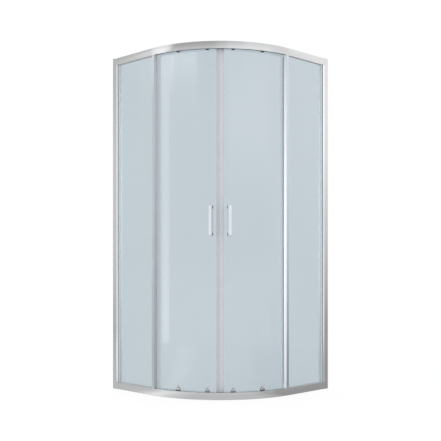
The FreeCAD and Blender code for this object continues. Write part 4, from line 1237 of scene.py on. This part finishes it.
@dataclass
class SlidingDoor:
    """Curved pane with its seals and handle.

    Attributes:
        side: half of the cabin.
        handle_offset: handle from the seam, along the middle of the pane.
        handle_reach: front of the handle's bar before the pane.
        bar_width: width of the bar.
        bar_thickness: thickness of the bar.
        bar_round: rounding of the bar's long edges.
        end_round: rounding of the bar's ends.
        leg_height: height of the legs that carry the bar.
        leg_inset: sides of the legs inside the sides of the bar.
        waist_inset: waist of the legs inside the sides of the bar.
        insert_widths: width of the grey strip along the bar's edge at the seam, left and right; it paints the
            shade on that side of the bar, wider on the left.
        insert_proud: face of that strip before the face of the bar.
        insert_depth: depth of that strip in the bar.
        insert_round: rounding of that strip.
        insert_edge: outer edge of that strip, as a share of half the bar's width.
        bolt_radius: radius of the shank of a handle bolt.
        bolt_chamfer: chamfer at the tip of a bolt, as a share of that radius.
        bolt_round: rounding below the head of a bolt.
        head_radius: radius of its head.
        head_height: height of its head.
        head_rim: height of the rim below the dome, as a share of the head.
        socket_radius: radius of the six-sided socket in its head.
        socket_depth: depth of that socket.
        washer_gap: head behind the inner face of the pane.
        bolt_tip: depth of the end of the shank behind the rail face.
    """

    side: Side
    handle_offset: float = 49 * MM
    handle_reach: float = 40 * MM
    bar_width: float = 20 * MM
    bar_thickness: float = 9 * MM
    bar_round: float = 2 * MM
    end_round: float = 1.2 * MM
    leg_height: float = 15 * MM
    leg_inset: float = 0.1 * MM
    waist_inset: float = 1.2 * MM
    insert_widths: Pair = (4.2 * MM, 1.2 * MM)
    insert_proud: float = 0.3 * MM
    insert_depth: float = 1 * MM
    insert_round: float = 0.5 * MM
    insert_edge: float = 0.97
    bolt_radius: float = 2.5 * MM
    bolt_chamfer: float = 0.2
    bolt_round: float = 0.3 * MM
    head_radius: float = 8 * MM
    head_height: float = 4 * MM
    head_rim: float = 0.3
    socket_radius: float = 2.9 * MM
    socket_depth: float = 2.2 * MM
    washer_gap: float = 0.15 * MM
    bolt_tip: float = 16.5 * MM

    def build(self) -> None:
        """Dress the door and build its handle and bolts."""
        word = self.side.word
        dress(f"door_glass_{word}", DOOR_GLASS)
        for seal in ("magnetic_seal", "door_edge_seal"):
            dress(f"{seal}_{word}", CLEAR_SEALS[self.side])
        dress(f"magnet_strip_{word}", MAGNET_CORE)
        self.handle()
        bolts = f"handle_bolts_{word}"
        stand_in(f"domed_{bolts}", self.handle_bolts(bolts), bolts, CHROME)

    def handle(self) -> None:
        """Bar with a grey strip of painted shade along its seam-side edge, on two legs painted near black as
        shade.
        """
        word = self.side.word
        node = f"handle_{word}"
        low, high = levels(node)
        place = PLAN.door_place(self.side, self.handle_offset, 0.0)
        front = PLAN.pane_front - self.handle_reach
        back, half = front + self.bar_thickness, self.bar_width / 2
        section = softened(rectangle((front, back), both_ways(half)), self.bar_round, closed=True, steps=5)
        bar = gather([(prism(section, low, high), place)])
        piece = stand_in(f"bar_{node}", bar, node, BAR_CHROME)
        round_edges(piece, self.end_round, segments=3, sharpness=60)
        # The grey strip paints the shade on the bar's seam side; it is wider on the left door than on the right.
        width = self.insert_widths[self.side is Side.RIGHT]
        sides = ((half - width) * self.side.value, half * self.side.value * self.insert_edge)
        shade_section = rectangle((front - self.insert_proud, front + self.insert_depth), sides)
        outline = softened(shade_section, self.insert_round, closed=True)
        strip = gather([(prism(outline, low + self.bar_round, high - self.bar_round), place)])
        add_piece(f"grip_insert_{word}", strip, body_of(node), SEAM_SHADE_PAINT)
        # The legs are painted near black as shade.
        legs = gather([(self.handle_legs(back, (low, high - self.leg_height)), place)])
        add_piece(f"handle_legs_{word}", legs, body_of(node), LEG_SHADE_PAINT)

    def handle_legs(self, back: float, feet: Pair) -> bpy.types.Mesh:
        """Waisted legs of the handle, drilled for the bolts.

        Args:
            back: depth of the back of the bar.
            feet: heights of the lower ends of the legs.

        Returns:
            The legs as one mesh.
        """
        half, waist = [self.bar_width / 2 - inset for inset in (self.leg_inset, self.waist_inset)]
        pane = PLAN.pane_front
        side = [(back, half), ((back + pane) / 2, waist), (pane, half)]
        section = side + [(depth, -reach) for depth, reach in reversed(side)]
        bore = rod(self.bolt_tip, pane + OVERCUT, self.bolt_radius, steps=24)
        middle = Matrix.Translation((0, 0, self.leg_height / 2))
        leg = carve(prism(section, 0.0, self.leg_height), gather([(bore, middle)]))
        return gather([(leg, Matrix.Translation((0, 0, foot))) for foot in feet])

    def handle_bolts(self, node: str) -> bpy.types.Mesh:
        """Both bolts of the handle, from inside the door.

        Args:
            node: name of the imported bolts.

        Returns:
            The bolts as one mesh.
        """
        seat = PLAN.pane_back + self.washer_gap
        crown = seat + self.head_height
        tip, radius = self.bolt_tip, self.bolt_radius
        chamfer = radius * self.bolt_chamfer
        shank = [(tip, 0.0), (tip, radius - chamfer), (tip + chamfer, radius), (seat, radius),
                 (seat, self.head_radius)]
        head = dome((seat + self.head_height * self.head_rim, self.head_radius), crown)
        socket = rod(crown - self.socket_depth, crown + OVERCUT, self.socket_radius, steps=6)
        bolt = carve(turned(softened(shank, self.bolt_round) + head), socket)
        low, high = levels(node)
        heights = (low + self.head_radius, high - self.head_radius)
        return gather([(bolt, PLAN.door_place(self.side, self.handle_offset, height))
                       for height in heights])


@dataclass
class RollerSet:
    """Rollers of one door: two pairs at the top, two sprung ones at the bottom, and their caps.

    Attributes:
        side: half of the cabin.
        places: rollers from the seam, along the middle of the pane.
        edge: rounding of the roller bodies.
        slider_edge: rounding of the release sliders.
        cap_radius: radius of the caps inside the door.
        cap_height: height of the caps.
        cap_rim: height of the rim below a cap's dome, as a share of the cap.
        cap_round: rounding of a cap's inner corners.
        cap_gap: caps behind the inner face of the pane.
        bush_radius: radius of the bush of a cap.
        bush_reach: reach of the bush into the hole of the pane.
        bore_radius: radius of the bore for the bolt.
        bore_depth: depth of that bore into the cap.
        slot: length, width and depth of the slot in a cap.
        wheel_radius: radius of a wheel.
        wheel_width: width of a wheel.
        axle_bore: radius of a wheel's bore.
        hub_wall: thickness of a wheel's hub round its bore.
        rim_wall: thickness of a wheel's rim.
        tyre_round: rounding of a wheel's corners.
        web_sink: depth of the ring between hub and rim.
        web_slope: slope at the edges of that ring.
        pockets: number of holes through that ring.
        pocket_radius: radius of those holes.
        housing_radius: radius of a bottom housing.
        housing_front: depth of its front behind the rail face.
        housing_back: depth of its back behind the rail face.
        housing_land: flat land round the recess in its front.
        housing_dome: depth of its domed part, as a share of the housing.
        dome_steps: number of edges in the dome.
        channel_half: half width of the channel for the release slider.
        channel_depth: depth of that channel.
        bolt_recess: radius and depth of the recess for the bolt head.
    """

    side: Side
    places: tuple[tuple[str, float], ...] = (("inner", 70 * MM), ("outer", 240 * MM))
    edge: float = 0.6 * MM
    slider_edge: float = 0.3 * MM
    cap_radius: float = 13 * MM
    cap_height: float = 6 * MM
    cap_rim: float = 0.4
    cap_round: float = 0.3 * MM
    cap_gap: float = 0.3 * MM
    bush_radius: float = 4.9 * MM
    bush_reach: float = 5 * MM
    bore_radius: float = 3.05 * MM
    bore_depth: float = 3 * MM
    slot: tuple[float, float, float] = (13 * MM, 1.8 * MM, 1.6 * MM)
    wheel_radius: float = 10 * MM
    wheel_width: float = 5 * MM
    axle_bore: float = 2.05 * MM
    hub_wall: float = 2.1 * MM
    rim_wall: float = 2 * MM
    tyre_round: float = 0.45 * MM
    web_sink: float = 1 * MM
    web_slope: float = 0.4 * MM
    pockets: int = 6
    pocket_radius: float = 1.1 * MM
    housing_radius: float = 14 * MM
    housing_front: float = 23 * MM
    housing_back: float = 28.2 * MM
    housing_land: float = 1.2 * MM
    housing_dome: float = 0.4
    dome_steps: int = 8
    channel_half: float = 5.8 * MM
    channel_depth: float = 2.6 * MM
    bolt_recess: Pair = (5.3 * MM, 1.6 * MM)

    def build(self) -> None:
        """Dress the rollers and build their turned pieces."""
        word = self.side.word
        caps = f"roller_caps_{word}"
        stand_in(f"slotted_{caps}", self.caps(caps), caps, CHROME)
        for piece in ("roller_axles", "roller_bolts"):
            dress(f"{piece}_{word}", STEEL)
        wheel = self.wheel()
        for place, offset in self.places:
            dress(f"top_roller_body_{word}_{place}", ROLLER_PLASTIC, self.edge)
            dress(f"release_slider_{word}_{place}", SLIDER_PLASTIC, self.slider_edge)
            housing = f"bottom_roller_housing_{word}_{place}"
            # The domes take the darkened chrome, which paints their shade.
            stand_in(f"domed_{housing}", self.housing(offset, housing), housing, DOME_SHADED_CHROME)
            wheels = [f"top_wheel_{word}_{place}_{letter}" for letter in "ab"]
            for node in (*wheels, f"bottom_wheel_{word}_{place}"):
                mesh = gather([(wheel, self.wheel_place(node))])
                stand_in(f"rolling_{node}", mesh, node, WHEEL_PLASTIC)

    def caps(self, node: str) -> bpy.types.Mesh:
        """Domed caps with a slot, two for each roller place.

        Args:
            node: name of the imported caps.

        Returns:
            The caps as one mesh.
        """
        seat = PLAN.pane_back + self.cap_gap
        crown = seat + self.cap_height
        floor = seat + self.bore_depth
        nose = seat - self.bush_reach
        inside = [(floor, 0.0), (floor, self.bore_radius), (nose, self.bore_radius),
                  (nose, self.bush_radius), (seat, self.bush_radius), (seat, self.cap_radius)]
        head = dome((seat + self.cap_height * self.cap_rim, self.cap_radius), crown)
        length, width, depth = self.slot
        slot = block((crown - depth, crown + OVERCUT), both_ways(length / 2), both_ways(width / 2))
        cap = carve(turned(softened(inside, self.cap_round) + head), slot)
        low, high = levels(node)
        heights = (low + self.cap_radius, high - self.cap_radius)
        return gather([(cap, PLAN.door_place(self.side, offset, height))
                       for _, offset in self.places for height in heights])

    def wheel(self) -> bpy.types.Mesh:
        """Wheel with a hub, a sunk ring with pockets and a rounded rim, about the origin.

        Returns:
            The mesh.
        """
        half = self.wheel_width / 2
        sunk = half - self.web_sink
        hub, rim = self.axle_bore + self.hub_wall, self.wheel_radius - self.rim_wall
        half_section = [(half, self.axle_bore), (half, hub), (sunk, hub + self.web_slope),
                        (sunk, rim - self.web_slope), (half, rim), (half, self.wheel_radius)]
        section = half_section + [(-depth, radius) for depth, radius in reversed(half_section)]
        body = turned(softened(section, self.tyre_round, closed=True), closed=True)
        pocket = rod(-self.wheel_width, self.wheel_width, self.pocket_radius, steps=20)
        turns = [math.radians(360 / self.pockets * number) for number in range(self.pockets)]
        middle = Matrix.Translation((0, (hub + rim) / 2, 0))
        return carve(body, gather([(pocket, Matrix.Rotation(turn, 4, "X") @ middle) for turn in turns]))

    @staticmethod
    def wheel_place(node: str) -> Matrix:
        """Frame of a wheel, from the joint that turns it."""
        joint = next(joint for joint in frame["joints"] if joint["child"] == body_of(node))
        return along_axis(Vector(joint["pos_m"]), Vector(joint["axis"]))

    def housing(self, offset: float, node: str) -> bpy.types.Mesh:
        """Domed bottom housing with a recess for its bolt and a channel for its slider.

        Args:
            offset: distance from the seam, along the middle of the pane.
            node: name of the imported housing.

        Returns:
            The mesh.
        """
        front, back = self.housing_front, self.housing_back
        recess_radius, recess_depth = self.bolt_recess
        floor = front + recess_depth
        land = recess_radius + self.housing_land
        depth, width = (back - front) * self.housing_dome, self.housing_radius - land
        turns = [math.pi / 2 * step / self.dome_steps for step in range(self.dome_steps + 1)]
        rim = [(front + depth * (1 - math.cos(turn)), land + width * math.sin(turn)) for turn in turns]
        section = [*rim, (back, self.housing_radius), (back, self.bore_radius), (floor, self.bore_radius),
                   (floor, recess_radius), (front, recess_radius)]
        channel = block((back - self.channel_depth, back + OVERCUT), both_ways(self.channel_half),
                        both_ways(2 * self.housing_radius))
        shell = carve(turned(section, closed=True), channel)
        return gather([(shell, PLAN.door_place(self.side, offset, sum(levels(node)) / 2))])


# Studio

class Card(ABC):
    """A pale or grey card round the cabin that only shows in glossy reflections."""

    name: str
    tones: tuple[Pair, ...]
    steps: int

    @abstractmethod
    def edges(self) -> tuple[Pair, Pair, Pair]:
        """Angles of the card's two ends, then the radius and level of its two long edges."""

    @abstractmethod
    def distance(self, wiring: Wiring) -> bpy.types.NodeSocket:
        """Distance along the card that its tones are given for."""

    def build(self) -> None:
        """Put the card up and hide it from all but glossy rays."""
        mesh = self.mesh()
        card = show(self.name, mesh)
        for ray in ("camera", "diffuse", "transmission", "shadow", "volume_scatter"):
            setattr(card, f"visible_{ray}", False)
        material = new_material(self.name)
        material.cycles.emission_sampling = "NONE"
        material.node_tree.nodes.clear()
        wiring = Wiring(material.node_tree)
        glow = wiring.add("Emission", {"Color": WHITE, "Strength": self.tone(wiring)})
        wiring.add("OutputMaterial", {"Surface": glow.outputs[0]})
        mesh.materials.append(material)
        LOG.info("card %s put up", self.name)

    def mesh(self) -> bpy.types.Mesh:
        """Strip of faces round the centre of the curve.

        Returns:
            The mesh.
        """
        shape = bmesh.new()
        (start, end), *edges = self.edges()
        spokes = []
        for step in range(self.steps + 1):
            outward = PLAN.outward(start + (end - start) * step / self.steps)
            spokes.append([shape.verts.new(PLAN.centre + outward * radius + UP * level)
                           for radius, level in edges])
        for near, far in zip(spokes, spokes[1:]):
            shape.faces.new([*near, *reversed(far)])
        return settle(shape)

    def tone(self, wiring: Wiring) -> bpy.types.NodeSocket:
        """Tone that runs through the stated tones, one stretch after the other.

        Args:
            wiring: wiring of the card's nodes.

        Returns:
            The tone.
        """
        distance = self.distance(wiring)
        tone = self.tones[0][1]
        for (near, first), (far, second) in zip(self.tones, self.tones[1:]):
            stretch = {"Value": distance, "From Min": near, "From Max": far, "To Max": second - first}
            tone = wiring.calculate("ADD", tone, wiring.add("MapRange", stretch).outputs["Result"])
        return tone


@dataclass
class WallCard(Card):
    """Upright card on a circle about the centre of the curve.

    Attributes:
        name: name of the card.
        angles: its two ends in degrees from the camera's axis, right positive.
        tones: pairs of height and brightness, where 1 is the white of the background.
        radius: distance from the centre.
        steps: number of faces round the circle.
    """

    name: str
    angles: Pair
    tones: tuple[Pair, ...]
    radius: float = 3.4
    steps: int = 24

    def edges(self) -> tuple[Pair, Pair, Pair]:
        """Its ends, then its lower and upper edge at the lowest and highest tone."""
        return self.angles, (self.radius, self.tones[0][0]), (self.radius, self.tones[-1][0])

    def distance(self, wiring: Wiring) -> bpy.types.NodeSocket:
        """Height above the floor."""
        return wiring.add("SeparateXYZ", {0: wiring.place()}).outputs["Z"]


@dataclass
class FloorRing(Card):
    """Card on the floor round the curve.

    Attributes:
        name: name of the card.
        tones: pairs of angle in degrees from the camera's axis, right positive, and brightness.
        radii: its inner and outer radius.
        lift: height above the floor.
        steps: number of faces round the ring.
    """

    name: str
    tones: tuple[Pair, ...]
    radii: Pair = (0.552, 3.2)
    lift: float = 0.0005
    steps: int = 72

    def edges(self) -> tuple[Pair, Pair, Pair]:
        """Its ends at the first and last tone, then its inner and outer edge."""
        inner, outer = self.radii
        return (self.tones[0][0], self.tones[-1][0]), (inner, self.lift), (outer, self.lift)

    def distance(self, wiring: Wiring) -> bpy.types.NodeSocket:
        """Angle from the camera's axis in degrees.

        Args:
            wiring: wiring of the card's nodes.

        Returns:
            The angle.
        """
        away = wiring.add("VectorMath", {0: wiring.place(), 1: PLAN.centre}, operation="SUBTRACT")
        parts = wiring.add("SeparateXYZ", {0: away.outputs[0]}).outputs
        angle = wiring.calculate("ARCTAN2", parts["Y"], parts["X"])
        return wiring.calculate("ADD", wiring.calculate("DEGREES", angle), DIAGONAL)


@dataclass
class Softbox:
    """A lamp with a soft rectangular face, aimed at the cabin.

    Attributes:
        name: name of the lamp.
        angle: direction from the cabin in degrees from the camera's axis, right positive.
        distance: distance from the middle of the doors.
        level: height of its middle.
        width: width of its face.
        height: height of its face.
        brightness: brightness of its face, where 1 is the white of the background.
        lit: pieces that it lights.
    """

    name: str
    angle: float
    distance: float
    level: float
    width: float
    height: float
    brightness: float
    lit: tuple[str, ...]

    def build(self, target: Vector) -> None:
        """Hang the lamp and turn it to the target.

        Args:
            target: middle of the doors.
        """
        lamp = bpy.data.lights.new(self.name, "AREA")
        lamp.shape = "RECTANGLE"
        lamp.size = self.width
        lamp.size_y = self.height
        lamp.energy = self.brightness * math.pi * self.width * self.height
        holder = show(self.name, lamp)
        holder.location = Vector((target.x, target.y, 0)) + PLAN.outward(self.angle) * self.distance
        holder.location.z = self.level
        holder.visible_camera = False
        holder.rotation_euler = (target - holder.location).to_track_quat("-Z", "Y").to_euler()
        group = bpy.data.collections.new(f"{self.name}_group")
        for piece in self.lit:
            group.objects.link(bpy.data.objects[piece])
        holder.light_linking.receiver_collection = group
        LOG.info("lamp %s hung", self.name)


@dataclass
class Studio:
    """White surroundings, lamps and the camera.

    Attributes:
        floor_size: side of the floor.
        floor_drop: floor below the rail, so that the two do not share a plane.
        floor_colour: colour of the floor.
        floor_roughness: roughness of the floor.
        floor_gloss: level of the floor's reflections.
        shadow_share: share of the floor's own shading that the camera sees.
        floor_glow: brightness that makes up for the rest, so that the open floor is white.
        fill: brightness of the surroundings as light on the cabin.
        camera_distance: camera from the front of the rail.
        camera_level: height of the camera.
        camera_turn: camera off the diagonal, in degrees.
        lens: focal length for a sensor of 36 mm.
        shift: horizontal and vertical lens shift.
    """

    floor_size: float = 60.0
    floor_drop: float = 0.0004
    floor_colour: Colour = (0.86, 0.86, 0.86)
    floor_roughness: float = 0.9
    floor_gloss: float = 0.1
    shadow_share: float = 0.2
    floor_glow: float = 1.08
    fill: float = 0.9
    camera_distance: float = 4.3878
    camera_level: float = 0.76415
    camera_turn: float = 0.1186
    lens: float = 66.05
    shift: Pair = (0.0001, 0.08803)

    def build(self) -> None:
        """Set up everything around the cabin."""
        bpy.context.scene.view_settings.view_transform = "Standard"
        self.surroundings()
        self.floor()
        target = PLAN.centre + PLAN.outward(0) * PLAN.rail_radius + UP * (PLAN.height / 2)
        for lamp in self.lamps():
            lamp.build(target)
        for card in self.cards():
            card.build()
        self.camera()

    @staticmethod
    def lamps() -> list[Softbox]:
        """Lamps for the left door, the facings of the strike posts and the infills of the wall posts."""
        return [
            Softbox("high_bank_left", angle=-52.0, distance=2.8, level=3.1, width=2.2, height=1.5,
                    brightness=1.6, lit=("door_glass_left",)),
            Softbox("jamb_key_left", angle=-36.0, distance=1.1, level=0.9, width=0.4, height=1.0,
                    brightness=26.0, lit=("jamb_facing_right",)),
            Softbox("jamb_key_right", angle=36.0, distance=1.1, level=1.75, width=0.4, height=0.6,
                    brightness=10.5, lit=("jamb_facing_left",)),
            Softbox("infill_key_left", angle=-115.0, distance=2.2, level=1.15, width=0.6, height=2.2,
                    brightness=17.5, lit=("post_infill_right",)),
            Softbox("infill_key_right", angle=115.0, distance=2.2, level=1.15, width=0.6, height=2.2,
                    brightness=17.5, lit=("post_infill_left",)),
        ]

    @staticmethod
    def cards() -> list[Card]:
        """Wall cards from left to right, and the ring on the floor."""
        return [
            WallCard("left_wall", (-115, -90),
                     ((0, 0.64), (0.3, 0.78), (0.8, 0.95), (1.8, 0.98), (2.5, 0.76), (4, 0.66))),
            WallCard("left_corner", (-90, -85),
                     ((0, 0.74), (0.5, 0.84), (1.2, 1.0), (2.3, 1.0), (2.5, 1.4), (3.6, 0.98), (5, 0.95))),
            WallCard("left_beside", (-85, -74.5),
                     ((0, 1.3), (2.3, 1.3), (2.5, 1.75), (3.6, 1.1), (5, 1.0))),
            WallCard("bright_strip", (-74.5, -64.5),
                     ((0, 2.15), (0.3, 2.15), (1.3, 1.75), (2.25, 1.6), (2.5, 1.8), (3.6, 1.1), (5, 0.9))),
            WallCard("strip_head", (-64.5, -58),
                     ((1.6, 1.0), (2.25, 1.0), (2.5, 1.7), (3.6, 1.0), (5, 0.8))),
            WallCard("left_front", (-58, -4),
                     ((1.6, 1.0), (2.1, 1.0), (2.7, 0.75), (3.6, 0.6), (5, 0.6))),
            WallCard("middle", (-4, 8),
                     ((1.6, 1.1), (2.1, 1.2), (2.7, 0.95), (3.6, 0.75), (5, 0.7))),
            WallCard("right_near", (8, 27),
                     ((1.2, 1.0), (2.0, 1.45), (2.7, 1.15), (3.6, 0.9), (5, 0.9))),
            WallCard("right_far", (27, 62),
                     ((1.2, 1.0), (2.0, 1.45), (2.7, 1.3), (3.6, 1.1), (5, 1.0))),
            WallCard("right_corner", (62, 88),
                     ((0, 0.74), (0.6, 0.95), (1.5, 1.15), (2.1, 1.2), (5, 1.2))),
            WallCard("right_wall", (88, 115),
                     ((0, 0.48), (0.22, 0.58), (0.6, 0.82), (1.5, 1.22), (2.1, 1.41), (5, 1.4))),
            FloorRing("floor_tones",
                      ((-120, 0.75), (-60, 0.9), (-52, 1.15), (-46, 1.4), (-40, 1.35), (-33, 1.1),
                       (-20, 0.88), (25, 0.88), (35, 0.75), (42, 0.53), (120, 0.53))),
        ]

    @staticmethod
    def seen_directly(wiring: Wiring) -> bpy.types.NodeSocket:
        """Mask of the rays from the camera and by way of gloss and glass.

        Args:
            wiring: wiring of the nodes that get the mask.

        Returns:
            The mask.
        """
        path = wiring.add("LightPath").outputs
        seen = wiring.calculate("MAXIMUM", path["Is Camera Ray"], path["Is Glossy Ray"])
        return wiring.calculate("MAXIMUM", seen, path["Is Transmission Ray"])

    def surroundings(self) -> None:
        """White world that lights the cabin softly."""
        world = bpy.data.worlds.new("white_surroundings")
        world.use_nodes = True
        nodes = world.node_tree.nodes
        wiring = Wiring(world.node_tree)
        light = nodes["Background"]
        wiring.feed(light.inputs["Color"], WHITE)
        wiring.feed(light.inputs["Strength"], self.fill)
        white = wiring.add("Background", {"Color": WHITE, "Strength": 1.0})
        mix = wiring.blend(self.seen_directly(wiring), light, white)
        wiring.feed(nodes["World Output"].inputs["Surface"], mix)
        bpy.context.scene.world = world

    def floor(self) -> None:
        """Pale floor that keeps the cabin's shadow."""
        sides = both_ways(self.floor_size / 2)
        mesh = bpy.data.meshes.new("floor")
        mesh.from_pydata([(x, y, -self.floor_drop) for x, y in rectangle(sides, sides)], [], [(0, 1, 2, 3)])
        floor = show("floor", mesh)
        material = new_material("pale_floor")
        wiring = SurfaceWiring(material)
        wiring.plain(Base_Color=(*self.floor_colour, 1), Roughness=self.floor_roughness,
                     Specular_IOR_Level=self.floor_gloss)
        glow = wiring.add("Emission", {"Color": WHITE, "Strength": self.floor_glow})
        share = wiring.spread(self.seen_directly(wiring), 0.0, 1.0 - self.shadow_share)
        mix = wiring.blend(share, wiring.surface, glow)
        wiring.feed(material.node_tree.nodes["Material Output"].inputs["Surface"], mix)
        mesh.materials.append(material)

    def camera(self) -> None:
        """Level camera on the diagonal in front of the doors."""
        data = bpy.data.cameras.new("camera")
        data.lens = self.lens
        data.shift_x, data.shift_y = self.shift
        camera = show("camera", data)
        away = PLAN.outward(self.camera_turn)
        distance = PLAN.rail_radius + self.camera_distance
        camera.location = PLAN.centre + away * distance + UP * self.camera_level
        camera.rotation_euler = (-away).to_track_quat("-Z", "Y").to_euler()
        bpy.context.scene.camera = camera


def main() -> None:
    """Build the cabin's looks piece by piece."""
    logging.basicConfig(level=logging.INFO, format="%(message)s")
    FixedFrame().build()
    for side in Side:
        FixedPanel(side).build()
        SlidingDoor(side).build()
        RollerSet(side).build()
    Studio().build()


if __name__ == "__main__":
    main()
